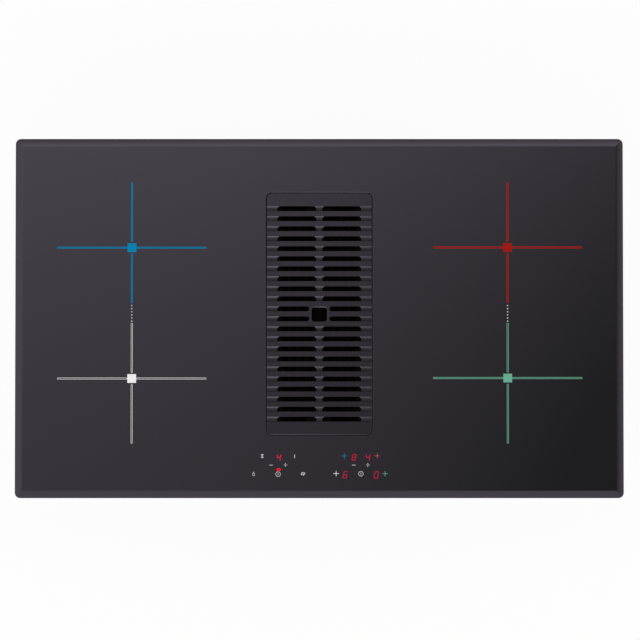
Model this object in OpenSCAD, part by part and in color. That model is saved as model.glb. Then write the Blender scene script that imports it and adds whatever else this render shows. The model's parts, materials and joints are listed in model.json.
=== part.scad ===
// Built-in four-zone induction hob with a centre downdraft extractor.
// Origin: plan centre of the appliance, on the worktop surface. +X right, +Y rear, +Z up.
// The glass lies on the worktop by its rim, and all the rest hangs through the cut-out.

/* [Glass] */
// Width of the glass, left to right
glass_w = 880; // [872:1:900]
// Depth of the glass, front to rear
glass_d = 520; // [516:1:530]
// Thickness of the glass
glass_t = 4; // [4:0.5:6]
// Radius of the four corners
glass_r = 8; // [4:1:12]
// Width of the bevel along each edge
bevel_w = 10; // [4:1:12]
// How far the bevel falls to the edge
bevel_drop = 2; // [1:0.5:2.5]

/* [Cover grille] */
// Width of the grille
grille_w = 152; // [150:1:153]
// Length of the grille, front to rear
grille_d = 350; // [349:0.5:351]
// How far the grille stands above the glass
grille_proud = 1; // [0:0.5:2]
// Number of grooved rows
slot_rows = 22; // [20:2:22]
// Distance from one row to the next
row_pitch = 14.5; // [14:0.05:14.7]
// Width of a groove, front to rear
groove_w = 7.3; // [7.2:0.1:8]
// Depth of a groove
groove_depth = 1.5; // [1:0.1:2.4]
// Front to rear size of a slot
slot_d = 7.1; // [5:0.1:7.5]
// Length of a slot at its rear side
slot_rear = 50.4; // [46:0.1:52]
// Length of a slot at its front side
slot_front = 56.4; // [50:0.1:58]
// Distance from the grille's centre line to a slot's centre
slot_x = 32.5; // [32:0.1:34]
// Side of the finger hole
finger_hole = 21.8; // [20:0.2:22.6]

/* [Filter and drip tray] */
// Depth of the V-shaped filter below its rim
filter_depth = 43; // [36:1:44]
// Width of the drip tray
drip_w = 84; // [70:1:90]
// Depth of the drip tray
drip_h = 24; // [16:1:28]

/* [Tray and plenum] */
// Depth of the chassis tray below the worktop surface
tray_depth = 54; // [54:1:56]
// Thickness of the sheet steel
sheet_t = 1; // [0.8:0.1:1.2]
// Width of the plenum box
plenum_w = 240; // [230:1:250]
// Length of the plenum box
plenum_d = 380; // [375:1:384]
// Height of the plenum box
plenum_h = 61; // [58:1:66]

/* [Blower] */
// Outer radius of the impeller
impeller_r = 95; // [88:1:96]
// Height of the scroll housing
scroll_h = 90; // [90:1:94]
// Radius of the scroll's smallest quarter
scroll_r = 112; // [110:1:114]
// How much each next quarter of the scroll grows
scroll_step = 20; // [16:1:22]
// Number of impeller blades
blade_count = 36; // [24:1:44]
// Width of the flat outlet duct
duct_w = 222; // [218:1:224]
// Height of the flat outlet duct
duct_h = 89; // [86:1:90]

/* [Cooking zones] */
// Distance from the centre line to a coil's centre
coil_x = 272; // [268:1:276]
// Rear coils' centre line
coil_rear_y = 103; // [100:1:106]
// Front coils' centre line
coil_front_y = -86.5; // [-88:0.5:-84]
// Width of a coil
coil_w = 215; // [200:1:218]
// Depth of a coil, front to rear
coil_d = 172; // [160:1:176]

/* [Hidden] */
$fn = 64;
// Extra length of a cutter past the face that it opens
cut = 1;

// Heights of the layers, from the worktop surface
seal_t = 2;
glass_z = seal_t;
glass_top_z = glass_z + glass_t;
flange_top_z = 1;
tray_z = -tray_depth;
floor_z = tray_z + sheet_t;
plenum_z = tray_z - plenum_h;
scroll_z = plenum_z - scroll_h;
split_z = plenum_z - scroll_h / 2;

// Plan sizes of the tray, below the glass
tray_w = glass_w - 36;
tray_d = glass_d - 36;
tray_r = 6;
seal_band = 8;

// Grille, filter and well share one centre line
grille_y = 6.3;
grille_r = 8;
grille_high = glass_top_z + grille_proud;
grille_low = 1.5;
cutout_gap = 1.1;
cutout_w = grille_w + 2 * cutout_gap;
cutout_d = grille_d + 2 * cutout_gap;
cutout_r = 0.5;
short_rows = [slot_rows / 2 - 1, slot_rows / 2];
short_slot_start = 14.8;
finger_r = 3.5;

ledge_z = -5.3;
well_wall = 2.5;
well_w = 140;
well_d = 338;
pocket_w = 156;
pocket_d = 354;
lift_gap = 0.3;

filter_w = 150;
filter_d = 348;
filter_rim = 9;
filter_rim_t = 1.5;
filter_top_z = ledge_z + lift_gap + filter_rim_t;
filter_low_z = filter_top_z - filter_rim_t - filter_depth;
mesh_top_w = 8;
mesh_half = filter_w / 2 - filter_rim;
valley_half = 9;
end_plate_t = 1.5;

drip_z = -52;
drip_d = 314;
drip_wall = 1.5;
bridge_y = 120;
bridge_w = 16;
post_r = 4;

// Scroll housing in plan: three quarter discs about the corners of a small square
blower = [0, -20];
scroll_wall = 2.5;
scroll_centres = [
    blower + [-scroll_step / 2, -scroll_step / 2],
    blower + [scroll_step / 2, -scroll_step / 2],
    blower + [scroll_step / 2, scroll_step / 2]
];
scroll_radii = [for (quarter = [0 : 2]) scroll_r + quarter * scroll_step];
scroll_right = scroll_centres[2][0] + scroll_radii[2];
scroll_left = scroll_right - duct_w;
scroll_end_y = 150;
flare_y = 140;
tongue = scroll_centres[0] + [0, scroll_radii[0]];
flare_run = [scroll_left, flare_y] - tongue;
flare_normal = [flare_run[1], -flare_run[0]] / norm(flare_run);
inlet_r = 76;
ear_r = 6;
ear_h = 6;
ear_spots = [
    scroll_centres[0] + (scroll_radii[0] + 4) * [cos(120), sin(120)],
    scroll_centres[1] + (scroll_radii[1] + 4) * [cos(195), sin(195)],
    scroll_centres[1] + (scroll_radii[1] + 4) * [cos(250), sin(250)],
    scroll_centres[2] + (scroll_radii[2] + 4) * [cos(310), sin(310)],
    [scroll_right + 4, 60],
    [scroll_left - 4, 145]
];

// Motor and impeller heights, from the scroll's floor upwards
motor_foot_z = scroll_z + 6;
can_r = 50;
can_z = motor_foot_z + 2;
can_top_z = can_z + 40;
hub_z = can_top_z + 3.5;
impeller_low_z = scroll_z + 15;
impeller_top_z = plenum_z - 5;
impeller_edge = 2;
blade_in = impeller_r - 16;
shaft_r = 4;
bearing_r = 11;
bearing_h = 7;
running_gap = 0.05;
motor_bolt_r = 58;

// Outlet duct and its flap
duct_z = scroll_z + scroll_h / 2;
duct_wall = 2.5;
spigot_end_y = 235;
flap_y = 156;
flap_axis_z = duct_z + duct_h / 2 - duct_wall - 4;
flap_pin_r = 2;
flap_t = 1.5;

// Screws
screw_r = 2;
screw_hole_r = 2.2;
screw_head_r = 3.5;
screw_head_h = 3;
plenum_screw_x = plenum_w / 2 + 5;
plenum_screw_ys = [-130, 7, 150];
inlet_screw_r = 81;

// Parts in the tray, mirrored from right to left
rear_vents = [230, 215];
fan_at = [185, -150];
fan_size = 80;
fan_h = 25;
board_at = [318, 15];
board_size = [160, 330];
board_z = floor_z + 7;
board_t = 1.6;
shield_z = -13;
carrier_z = -7;
coil_z = -4;
coil_top_z = 1;
touch_x = 60;
touch_y = -214;
touch_size = [104, 44];
touch_z = -6;
display_spots = [[-58.2, -201.3], [50.1, -201.3], [71.1, -201.3], [37.6, -226.7], [82.7, -226.7]];
light_bar_at = [-58.7, -218.6];

// Terminal box below the rear left corner
terminal_x = [-400, -290];
terminal_y = [164, 236];
terminal_low_z = tray_z - 36;
terminal_wall = 2;
cover_axis = [159.5, terminal_low_z + 2];
cover_pin_r = 1.5;
barrel_r = 3.5;
cable_x = -345;
cable_z = tray_z - 19;
cable_r = 8;
cable_entry_w = 20;
cable_length = 10;
wire_hole_at = [cable_x, 215];
wire_hole_r = 8;

// Clamps under the worktop
clamp_at = [300, tray_d / 2 + 4];
clamp_z = -44;
clamp_h = 6;
clamp_reach = 34;
clamp_arm_w = 7;

function row_y(row) = (row - (slot_rows - 1) / 2) * row_pitch;
function motor_bolt(turn) = blower + motor_bolt_r * [cos(turn), sin(turn)];

// Flat rectangle with round corners
module rounded_rect(w, d, r) {
    square([w - 2 * r, d], center = true);
    square([w, d - 2 * r], center = true);
    for (sx = [-1, 1])
        for (sy = [-1, 1])
            translate([sx * (w / 2 - r), sy * (d / 2 - r)])
                circle(r);
}

// Plate with round corners between two heights
module slab(w, d, r, low, high) {
    translate([0, 0, low])
        linear_extrude(high - low)
            rounded_rect(w, d, r);
}

// Closed band with round corners between two heights
module band_ring(w, d, r, band, low, high) {
    translate([0, 0, low])
        linear_extrude(high - low)
            difference() {
                rounded_rect(w, d, r);
                rounded_rect(w - 2 * band, d - 2 * band, max(r - band, 0.5));
            }
}

// Box given by its lowest and highest corners
module block(low, high) {
    translate(low)
        cube(high - low);
}

// Upright round bar or cutter
module rod(at, r, low, high) {
    translate([at[0], at[1], low])
        cylinder(r = r, h = high - low);
}

// Upright ring
module tube(at, outer, inner, low, high) {
    difference() {
        rod(at, outer, low, high);
        rod(at, inner, low - cut, high + cut);
    }
}

// Repeats a part at the right and mirrored at the left
module at_side(side) {
    scale_x = side == "right" ? 0 : 1;
    mirror([scale_x, 0, 0])
        children();
}

// Wedge that takes the bevel off one edge, along X
module bevel_cutter(half) {
    fall = bevel_drop / bevel_w;
    translate([-glass_w / 2 - cut, 0, 0])
        rotate([90, 0, 90])
            linear_extrude(glass_w + 2 * cut)
                polygon([
                    [half - bevel_w, glass_top_z],
                    [half + cut, glass_top_z - fall * (bevel_w + cut)],
                    [half + cut, glass_top_z + cut],
                    [half - bevel_w, glass_top_z + cut]
                ]);
}

module glass_top() {
    color([0.13, 0.13, 0.14])
        difference() {
            slab(glass_w, glass_d, glass_r, glass_z, glass_top_z);
            for (turn = [0 : 3])
                rotate([0, 0, turn * 90])
                    bevel_cutter(turn % 2 == 0 ? glass_d / 2 : glass_w / 2);
            translate([0, grille_y, 0])
                slab(cutout_w, cutout_d, cutout_r, glass_z - cut, glass_top_z + cut);
        }
}

module worktop_seal() {
    color([0.1, 0.1, 0.1])
        band_ring(glass_w - 2, glass_d - 2, glass_r - 1, seal_band, 0, seal_t);
}

// Glue beads that hold the glass to the tray's flange and to the well
module glass_bond_beads() {
    color([0.15, 0.15, 0.15]) {
        band_ring(tray_w + 6, tray_d + 6, tray_r + 3, 4, flange_top_z, glass_z);
        translate([0, grille_y, 0])
            band_ring(pocket_w + 32, pocket_d + 32, 11, 12, flange_top_z, glass_z);
    }
}

// Slot outline: wider at the front than at the rear, with round corners
module slot_outline(from, to) {
    taper = (slot_front - slot_rear) / 2;
    corner = 1.2;
    half = slot_d / 2;
    rear_from = from + taper;
    rear_to = to - taper;
    front_x = [from + corner * 1.5, to - corner * 1.5];
    rear_x = [rear_from + corner * 0.65, rear_to - corner * 0.65];
    for (i = [0, 1]) {
        translate([front_x[i], -half + corner])
            circle(corner);
        translate([rear_x[i], half - corner])
            circle(corner);
    }
    polygon([
        [front_x[0], -half], [front_x[1], -half],
        [front_x[1] + corner * 0.92, -half + corner * 1.4],
        [rear_x[1] + corner * 0.92, half - corner * 0.6],
        [rear_x[1], half], [rear_x[0], half],
        [rear_x[0] - corner * 0.92, half - corner * 0.6], [front_x[0] - corner * 0.92, -half + corner * 1.4]
    ]);
}

// Shorter slot beside the finger hole, with one full-round end
module short_slot_outline(to) {
    half = slot_d / 2;
    taper = (slot_front - slot_rear) / 2;
    translate([short_slot_start + half, 0])
        circle(half);
    intersection() {
        slot_outline(-to, to);
        translate([short_slot_start + half, -half])
            square([to, slot_d]);
    }
}

// Groove across the whole grille, with a flat floor and a round foot on both sides
module groove() {
    foot = groove_w / 2 - groove_depth;
    translate([-grille_w / 2 - cut, 0, grille_high])
        rotate([90, 0, 90])
            linear_extrude(grille_w + 2 * cut) {
                translate([-foot, -groove_depth])
                    square([2 * foot, 2 * groove_depth]);
                for (side = [-1, 1])
                    translate([side * foot, 0])
                        circle(groove_depth);
            }
}

// Groove that stops on both sides of the finger hole, with a round end
module split_groove() {
    end_r = groove_w / 2 + 0.2;
    intersection() {
        groove();
        translate([0, 0, grille_low])
            linear_extrude(grille_high - grille_low + cut)
                for (side = [0, 1])
                    mirror([side, 0]) {
                        translate([short_slot_start + slot_d / 2, 0])
                            circle(end_r);
                        translate([short_slot_start + slot_d / 2, -end_r])
                            square([grille_w, 2 * end_r]);
                    }
    }
}

module cover_grille() {
    far = slot_x + slot_front / 2;
    color([0.2, 0.2, 0.21])
        translate([0, grille_y, 0])
            difference() {
                slab(grille_w, grille_d, grille_r, grille_low, grille_high);
                for (row = [0 : slot_rows - 1])
                    translate([0, row_y(row), 0])
                        if (row == short_rows[0] || row == short_rows[1])
                            split_groove();
                        else
                            groove();
                translate([0, 0, grille_low - cut])
                    linear_extrude(grille_high - grille_low + 2 * cut)
                        for (row = [0 : slot_rows - 1])
                            translate([0, row_y(row)])
                                for (side = [0, 1])
                                    mirror([side, 0])
                                        if (row == short_rows[0] || row == short_rows[1])
                                            short_slot_outline(far);
                                        else
                                            slot_outline(slot_x - slot_front / 2, far);
                slab(finger_hole, finger_hole, finger_r, grille_low - cut, grille_high + cut);
            }
}

module grille_pads() {
    pad = [filter_w / 2 - 5.5, filter_d / 2 - 4.5];
    color([0.08, 0.08, 0.08])
        for (sx = [-1, 1])
            for (sy = [-1, 1])
                rod([sx * pad[0], grille_y + sy * pad[1]], 3.5, filter_top_z + lift_gap, grille_low);
}

module filter_frame() {
    end_y = filter_d / 2 - filter_rim;
    rim_low_z = filter_top_z - filter_rim_t;
    color([0.75, 0.76, 0.78])
        translate([0, grille_y, 0]) {
            band_ring(filter_w, filter_d, 7, filter_rim, rim_low_z, filter_top_z);
            for (turn = [0, 180])
                rotate([0, 0, turn])
                    translate([0, end_y, 0])
                        rotate([90, 0, 0])
                            linear_extrude(end_plate_t)
                                polygon([
                                    [-mesh_half, rim_low_z + 0.5], [mesh_half, rim_low_z + 0.5],
                                    [mesh_half, rim_low_z - 2], [valley_half, filter_low_z],
                                    [-valley_half, filter_low_z], [-mesh_half, rim_low_z - 2]
                                ]);
            block([-valley_half, -end_y, filter_low_z], [valley_half, end_y, filter_low_z + end_plate_t]);
            for (sy = [-1, 1])
                rod([0, sy * bridge_y], post_r, drip_z - drip_wall - 1, filter_low_z + 0.5);
        }
}

// Slanted filter panel with a grid of openings
module filter_mesh() {
    top_z = filter_top_z - filter_rim_t;
    low_z = filter_low_z + end_plate_t;
    length = filter_d - 2 * filter_rim - 2 * end_plate_t;
    cell = [8, 11];
    columns = 4;
    rows = 22;
    pitch = [12, length / rows];
    color([0.68, 0.69, 0.71])
        translate([0, grille_y, 0])
            difference() {
                translate([0, length / 2, 0])
                    rotate([90, 0, 0])
                        linear_extrude(length)
                            polygon([
                                [mesh_half, top_z], [mesh_half - mesh_top_w, top_z],
                                [valley_half - mesh_top_w, low_z], [valley_half, low_z]
                            ]);
                translate([13, -(rows - 1) / 2 * pitch[1], (top_z + low_z) / 2])
                    for (column = [0 : columns - 1])
                        for (row = [0 : rows - 1])
                            translate([column * pitch[0], row * pitch[1], 0])
                                cube([cell[0], cell[1], filter_depth + 2 * cut], center = true);
            }
}

module filter_mesh_left() {
    at_side("left")
        filter_mesh();
}

module filter_mesh_right() {
    at_side("right")
        filter_mesh();
}

module filter_finger_tabs() {
    tab = [36, 14, 3];
    tab_z = filter_top_z - 10;
    end_y = filter_d / 2 - filter_rim - end_plate_t;
    color([0.7, 0.71, 0.73])
        translate([0, grille_y, 0])
            for (turn = [0, 180])
                rotate([0, 0, turn])
                    block([-tab[0] / 2, end_y - tab[1], tab_z], [tab[0] / 2, end_y, tab_z + tab[2]]);
}

// Open tray that hangs by two bridges from the posts under the filter
module drip_tray() {
    color([0.7, 0.7, 0.72])
        translate([0, grille_y, 0]) {
            difference() {
                slab(drip_w, drip_d, 8, drip_z - drip_h, drip_z);
                slab(
                    drip_w - 2 * drip_wall, drip_d - 2 * drip_wall, 8 - drip_wall,
                    drip_z - drip_h + drip_wall, drip_z + cut
                );
            }
            for (sy = [-1, 1])
                difference() {
                    block(
                        [-drip_w / 2 + 1, sy * bridge_y - bridge_w / 2, drip_z - drip_wall],
                        [drip_w / 2 - 1, sy * bridge_y + bridge_w / 2, drip_z]
                    );
                    rod([0, sy * bridge_y], post_r + running_gap, drip_z - drip_wall - cut, drip_z + cut);
                }
        }
}

// Floor sheet with the well's opening, air vents and screw holes
module chassis_floor() {
    color([0.72, 0.73, 0.74])
        difference() {
            slab(tray_w, tray_d, tray_r, tray_z, floor_z);
            translate([0, grille_y, 0])
                slab(
                    well_w + 2 * well_wall + 1, well_d + 2 * well_wall + 1, 6,
                    tray_z - cut, floor_z + cut
                );
            rod(wire_hole_at, wire_hole_r, tray_z - cut, floor_z + cut);
            for (side = [-1, 1]) {
                for (vent = [-3 : 3])
                    translate([side * fan_at[0], fan_at[1] + vent * 9, tray_z])
                        cube([60 - 4 * abs(vent), 5, 4], center = true);
                for (vent = [-3 : 3])
                    translate([side * rear_vents[0], rear_vents[1] + vent * 6, tray_z])
                        cube([60, 3, 4], center = true);
                for (y = plenum_screw_ys)
                    rod([side * plenum_screw_x, y], screw_hole_r, tray_z - cut, floor_z + cut);
            }
        }
}

// Four walls with the flange that is glued under the glass
module chassis_walls() {
    color([0.74, 0.75, 0.76])
        difference() {
            union() {
                slab(tray_w, tray_d, tray_r, floor_z, flange_top_z);
                slab(tray_w + 8, tray_d + 8, tray_r + 4, 0, flange_top_z);
            }
            slab(
                tray_w - 2 * sheet_t, tray_d - 2 * sheet_t, tray_r - sheet_t,
                floor_z - cut, flange_top_z + cut
            );
        }
}

// Lug on the tray wall that guides a clamp screw
module clamp_lug(low) {
    difference() {
        block([-10, -4, low], [10, 3.5, low + 2]);
        rod([0, 0], screw_hole_r, low - cut, low + 2 + cut);
    }
}

// Posts under the boards and the lugs of the clamps
module tray_fittings() {
    board_posts = [for (sx = [-1, 1]) for (sy = [-1, 1]) board_at + [sx * 70, sy * 155]];
    touch_posts = [for (sx = [-1, 1]) for (sy = [-1, 1]) [touch_x + sx * 44, touch_y + sy * 16]];
    color([0.78, 0.79, 0.8])
        for (side = ["left", "right"])
            at_side(side) {
                for (spot = board_posts)
                    rod(spot, 4, floor_z, board_z);
                for (spot = touch_posts)
                    rod(spot, 3, floor_z, touch_z);
                for (flip = [0, 1])
                    mirror([0, flip, 0])
                        translate([clamp_at[0], clamp_at[1], 0]) {
                            clamp_lug(-16);
                            clamp_lug(-52);
                        }
            }
}

module suction_well() {
    low_z = tray_z - 4;
    step_z = ledge_z - 2;
    color([0.16, 0.16, 0.17])
        translate([0, grille_y, 0])
            difference() {
                union() {
                    slab(pocket_w + 34, pocket_d + 34, 12, flange_top_z - 2, flange_top_z);
                    slab(pocket_w + 5, pocket_d + 5, 11, step_z, flange_top_z);
                    slab(well_w + 2 * well_wall, well_d + 2 * well_wall, 6, low_z, flange_top_z);
                }
                slab(pocket_w, pocket_d, 9, ledge_z, flange_top_z + cut);
                slab(well_w, well_d, 4, low_z - cut, flange_top_z + cut);
            }
}

module plenum_box() {
    wall = 2;
    color([0.2, 0.2, 0.21])
        difference() {
            translate([0, grille_y, 0])
                union() {
                    slab(plenum_w, plenum_d, 10, plenum_z, tray_z);
                    slab(plenum_w + 20, plenum_d + 20, 14, tray_z - wall, tray_z);
                }
            translate([0, grille_y, 0])
                slab(plenum_w - 2 * wall, plenum_d - 2 * wall, 8, plenum_z + wall, tray_z + cut);
            rod(blower, inlet_r, plenum_z - cut, plenum_z + wall + cut);
            for (side = [-1, 1])
                for (y = plenum_screw_ys)
                    rod([side * plenum_screw_x, y], screw_hole_r, tray_z - wall - cut, tray_z + cut);
            ring_screw_holes(plenum_z - cut, plenum_z + wall + cut);
        }
}

// Four holes about the inlet
module ring_screw_holes(low, high) {
    for (turn = [45 : 90 : 315])
        rod(blower + inlet_screw_r * [cos(turn), sin(turn)], screw_hole_r, low, high);
}

// Plan of the scroll and its flared outlet, drawn in by inset all round
module scroll_plan(inset, extra) {
    right = scroll_right - inset;
    left = scroll_left + inset;
    nose = tongue + inset * flare_normal;
    flare_end = [scroll_left, flare_y] + inset * flare_normal;
    flare_left_y = flare_end[1] + (left - flare_end[0]) * flare_run[1] / flare_run[0];
    for (quarter = [0 : 2])
        translate(scroll_centres[quarter])
            rotate([0, 0, 90 + quarter * 90])
                intersection() {
                    circle(scroll_radii[quarter] - inset);
                    square(scroll_radii[quarter]);
                }
    polygon([
        scroll_centres[0], scroll_centres[1], scroll_centres[2],
        [right, scroll_centres[2][1]], [right, scroll_end_y + extra], [left, scroll_end_y + extra],
        [left, flare_left_y], nose, tongue - [0, inset]
    ]);
}

module blower_upper_shell() {
    roof = 2;
    color([0.24, 0.24, 0.25])
        difference() {
            union() {
                translate([0, 0, split_z])
                    linear_extrude(plenum_z - split_z)
                        scroll_plan(0, 0);
                for (spot = ear_spots)
                    rod(spot, ear_r, split_z, split_z + ear_h);
            }
            translate([0, 0, split_z - cut])
                linear_extrude(plenum_z - roof - split_z + cut)
                    scroll_plan(scroll_wall, cut);
            rod(blower, inlet_r, plenum_z - roof - cut, plenum_z + cut);
            ring_screw_holes(plenum_z - roof - cut, plenum_z + cut);
            for (spot = ear_spots)
                rod(spot, screw_hole_r, split_z - cut, split_z + ear_h + cut);
        }
}

module blower_lower_shell() {
    floor_t = 2;
    color([0.24, 0.24, 0.25])
        difference() {
            union() {
                translate([0, 0, scroll_z])
                    linear_extrude(split_z - scroll_z)
                        scroll_plan(0, 0);
                for (spot = ear_spots)
                    rod(spot, ear_r, split_z - ear_h, split_z);
            }
            translate([0, 0, scroll_z + floor_t])
                linear_extrude(split_z - scroll_z - floor_t + cut)
                    scroll_plan(scroll_wall, cut);
            for (spot = ear_spots)
                rod(spot, screw_hole_r, split_z - ear_h - cut, split_z + cut);
            for (turn = [45 : 90 : 315])
                rod(motor_bolt(turn), screw_hole_r, scroll_z - cut, scroll_z + floor_t + cut);
        }
}

module inlet_ring() {
    tube_r = inlet_r - 0.5;
    flange_z = plenum_z + 2;
    color([0.3, 0.3, 0.31])
        difference() {
            union() {
                rod(blower, tube_r, plenum_z - 9, flange_z + 1.5);
                rod(blower, tube_r + 10.5, flange_z, flange_z + 1.5);
            }
            rod(blower, tube_r - 3, plenum_z - 9 - cut, flange_z + 1.5 + cut);
            ring_screw_holes(flange_z - cut, flange_z + 1.5 + cut);
        }
}

// Cone and boss that carry the blade cage on the shaft
module impeller_hub() {
    color([0.5, 0.51, 0.53])
        translate([blower[0], blower[1], 0])
            rotate_extrude()
                polygon([
                    [shaft_r, hub_z], [can_r + 4.5, hub_z], [can_r + 22.5, impeller_low_z],
                    [blade_in, impeller_low_z], [blade_in, impeller_low_z + impeller_edge],
                    [can_r + 24, impeller_low_z + impeller_edge], [can_r + 6, hub_z + 2],
                    [10, hub_z + 2], [10, hub_z + 10.5], [shaft_r, hub_z + 10.5]
                ]);
}

// Ring of curved blades between two end rings
module impeller_cage() {
    blade_out = impeller_r - 0.5;
    sweep = 12;
    half_angle = 0.4;
    steps = 5;
    reach = [for (i = [0 : steps]) blade_in + (blade_out - blade_in) * i / steps];
    angle = [for (i = [0 : steps]) sweep * pow(i / steps, 2)];
    outline = concat(
        [for (i = [0 : steps]) reach[i] * [cos(angle[i] - half_angle), sin(angle[i] - half_angle)]],
        [for (i = [steps : -1 : 0]) reach[i] * [cos(angle[i] + half_angle), sin(angle[i] + half_angle)]]
    );
    color([0.58, 0.59, 0.61])
        translate([blower[0], blower[1], 0]) {
            tube([0, 0], impeller_r, blade_in, impeller_low_z, impeller_low_z + impeller_edge);
            tube([0, 0], impeller_r, blade_in, impeller_top_z - impeller_edge, impeller_top_z);
            translate([0, 0, impeller_low_z + impeller_edge / 2])
                linear_extrude(impeller_top_z - impeller_low_z - impeller_edge)
                    intersection() {
                        for (blade = [0 : blade_count - 1])
                            rotate([0, 0, blade * 360 / blade_count])
                                polygon(outline);
                        difference() {
                            circle(blade_out);
                            circle(blade_in);
                        }
                    }
        }
}

module motor_housing() {
    wall = 2;
    foot_r = 64;
    color([0.62, 0.63, 0.65])
        difference() {
            union() {
                difference() {
                    rod(blower, can_r, can_z, can_top_z);
                    rod(blower, can_r - wall, can_z - cut, can_top_z - wall);
                }
                rod(blower, foot_r, motor_foot_z, can_z);
                rod(blower, bearing_r + 3, can_z, can_z + bearing_h);
                rod(blower, bearing_r + 3, can_top_z - wall - bearing_h, can_top_z);
            }
            rod(blower, bearing_r, can_z, can_z + bearing_h + cut);
            rod(blower, bearing_r, can_top_z - wall - bearing_h - cut, can_top_z - wall);
            rod(blower, 6, can_top_z - wall - cut, can_top_z + cut);
            for (turn = [45 : 90 : 315])
                rod(motor_bolt(turn), screw_hole_r, motor_foot_z - cut, can_z + cut);
        }
}

module motor_stator() {
    slot_count = 9;
    low = can_z + 10;
    high = can_top_z - 11;
    color([0.62, 0.38, 0.2])
        translate([blower[0], blower[1], 0])
            difference() {
                tube([0, 0], can_r - 2, 27.5, low, high);
                for (slot = [0 : slot_count - 1])
                    rotate([0, 0, slot * 360 / slot_count])
                        rod([36, 0], 4.5, low - cut, high + cut);
            }
}

module motor_rotor() {
    color([0.45, 0.45, 0.47])
        tube(blower, 26.5, shaft_r, can_z + 9, can_top_z - 10);
}

module motor_shaft() {
    color([0.8, 0.8, 0.82])
        rod(blower, shaft_r, can_z + 0.5, hub_z + 12);
}

module motor_bearings() {
    color([0.82, 0.82, 0.84]) {
        tube(blower, bearing_r, shaft_r + running_gap, can_z, can_z + bearing_h);
        tube(blower, bearing_r, shaft_r + running_gap, can_top_z - 2 - bearing_h, can_top_z - 2);
    }
}

module motor_grommets() {
    color([0.1, 0.1, 0.1])
        for (turn = [45 : 90 : 315])
            tube(motor_bolt(turn), 6, screw_hole_r, scroll_z + 2, motor_foot_z);
}

// Box round the duct's cross-section, drawn in by inset, between two places along Y
module duct_block(inset, from, to) {
    block(
        [scroll_left + inset, from, duct_z - duct_h / 2 + inset],
        [scroll_right - inset, to, duct_z + duct_h / 2 - inset]
    );
}

module outlet_spigot() {
    sleeve_gap = 0.3;
    sleeve = 8;
    color([0.22, 0.22, 0.23]) {
        difference() {
            union() {
                duct_block(0, scroll_end_y, spigot_end_y);
                duct_block(scroll_wall + sleeve_gap, scroll_end_y - sleeve, scroll_end_y);
            }
            duct_block(duct_wall, scroll_end_y + 2, spigot_end_y + cut);
            duct_block(duct_wall + sleeve_gap + 2, scroll_end_y - sleeve - cut, scroll_end_y + 2 + cut);
            translate([scroll_left - cut, flap_y, flap_axis_z])
                rotate([0, 90, 0])
                    cylinder(r = flap_pin_r + running_gap, h = duct_w + 2 * cut);
        }
        block(
            [scroll_left + 20, scroll_end_y + 1, duct_z - duct_h / 2 + duct_wall - 0.5],
            [scroll_right - 20, scroll_end_y + 4.5, duct_z - duct_h / 2 + duct_wall + 8]
        );
    }
}

module backdraft_flap() {
    side_gap = 0.6;
    inner = [scroll_left + duct_wall + side_gap, scroll_right - duct_wall - side_gap];
    color([0.35, 0.35, 0.36]) {
        block(
            [inner[0], flap_y - flap_t / 2, duct_z - duct_h / 2 + duct_wall + 1],
            [inner[1], flap_y + flap_t / 2, flap_axis_z]
        );
        translate([inner[0], flap_y, flap_axis_z])
            rotate([0, 90, 0])
                cylinder(r = 3, h = inner[1] - inner[0]);
        translate([scroll_left, flap_y, flap_axis_z])
            rotate([0, 90, 0])
                cylinder(r = flap_pin_r, h = duct_w);
    }
}

module blower_control_box() {
    side_x = -plenum_w / 2;
    wall = 2;
    low = [side_x - 58, -60, tray_z - 50];
    high = [side_x, 40, tray_z - 6];
    color([0.14, 0.14, 0.15])
        difference() {
            block(low, high);
            block(low + [wall, wall, wall], high + [cut, -wall, -wall]);
        }
}

function coil_spot(place) = [
    place[1] == "right" ? coil_x : -coil_x,
    place[0] == "rear" ? coil_rear_y : coil_front_y
];

// Flat winding: a wide band with a groove between its turns
module coil_winding(place) {
    spot = coil_spot(place);
    corner = 82;
    band = 66;
    turns = 8;
    groove = 1.2;
    color([0.72, 0.42, 0.24])
        translate([spot[0], spot[1], 0])
            difference() {
                band_ring(coil_w, coil_d, corner, band, coil_z, coil_top_z);
                for (turn = [1 : turns])
                    band_ring(
                        coil_w - turn * 2 * band / (turns + 1), coil_d - turn * 2 * band / (turns + 1),
                        corner - turn * band / (turns + 1), groove, coil_top_z - 1.5, coil_top_z + cut
                    );
            }
}

module coil_winding_rear_left() {
    coil_winding(["rear", "left"]);
}

module coil_winding_rear_right() {
    coil_winding(["rear", "right"]);
}

module coil_winding_front_left() {
    coil_winding(["front", "left"]);
}

module coil_winding_front_right() {
    coil_winding(["front", "right"]);
}

// Plastic plate that carries a winding, with posts down to the shield plate
module coil_carrier(place) {
    spot = coil_spot(place);
    color([0.85, 0.84, 0.8])
        translate([spot[0], spot[1], 0]) {
            difference() {
                slab(coil_w + 4, coil_d + 4, 84, carrier_z, coil_z);
                for (window = [22.5 : 45 : 337.5])
                    rotate([0, 0, window])
                        translate([35, -5, carrier_z - cut])
                            cube([30, 10, coil_z - carrier_z + 2 * cut]);
            }
            for (sx = [-1, 1])
                for (sy = [-1, 1])
                    rod([sx * 80, sy * 58], 4, shield_z + 1, carrier_z + cut);
        }
}

module coil_carrier_rear_left() {
    coil_carrier(["rear", "left"]);
}

module coil_carrier_rear_right() {
    coil_carrier(["rear", "right"]);
}

module coil_carrier_front_left() {
    coil_carrier(["front", "left"]);
}

module coil_carrier_front_right() {
    coil_carrier(["front", "right"]);
}

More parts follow.
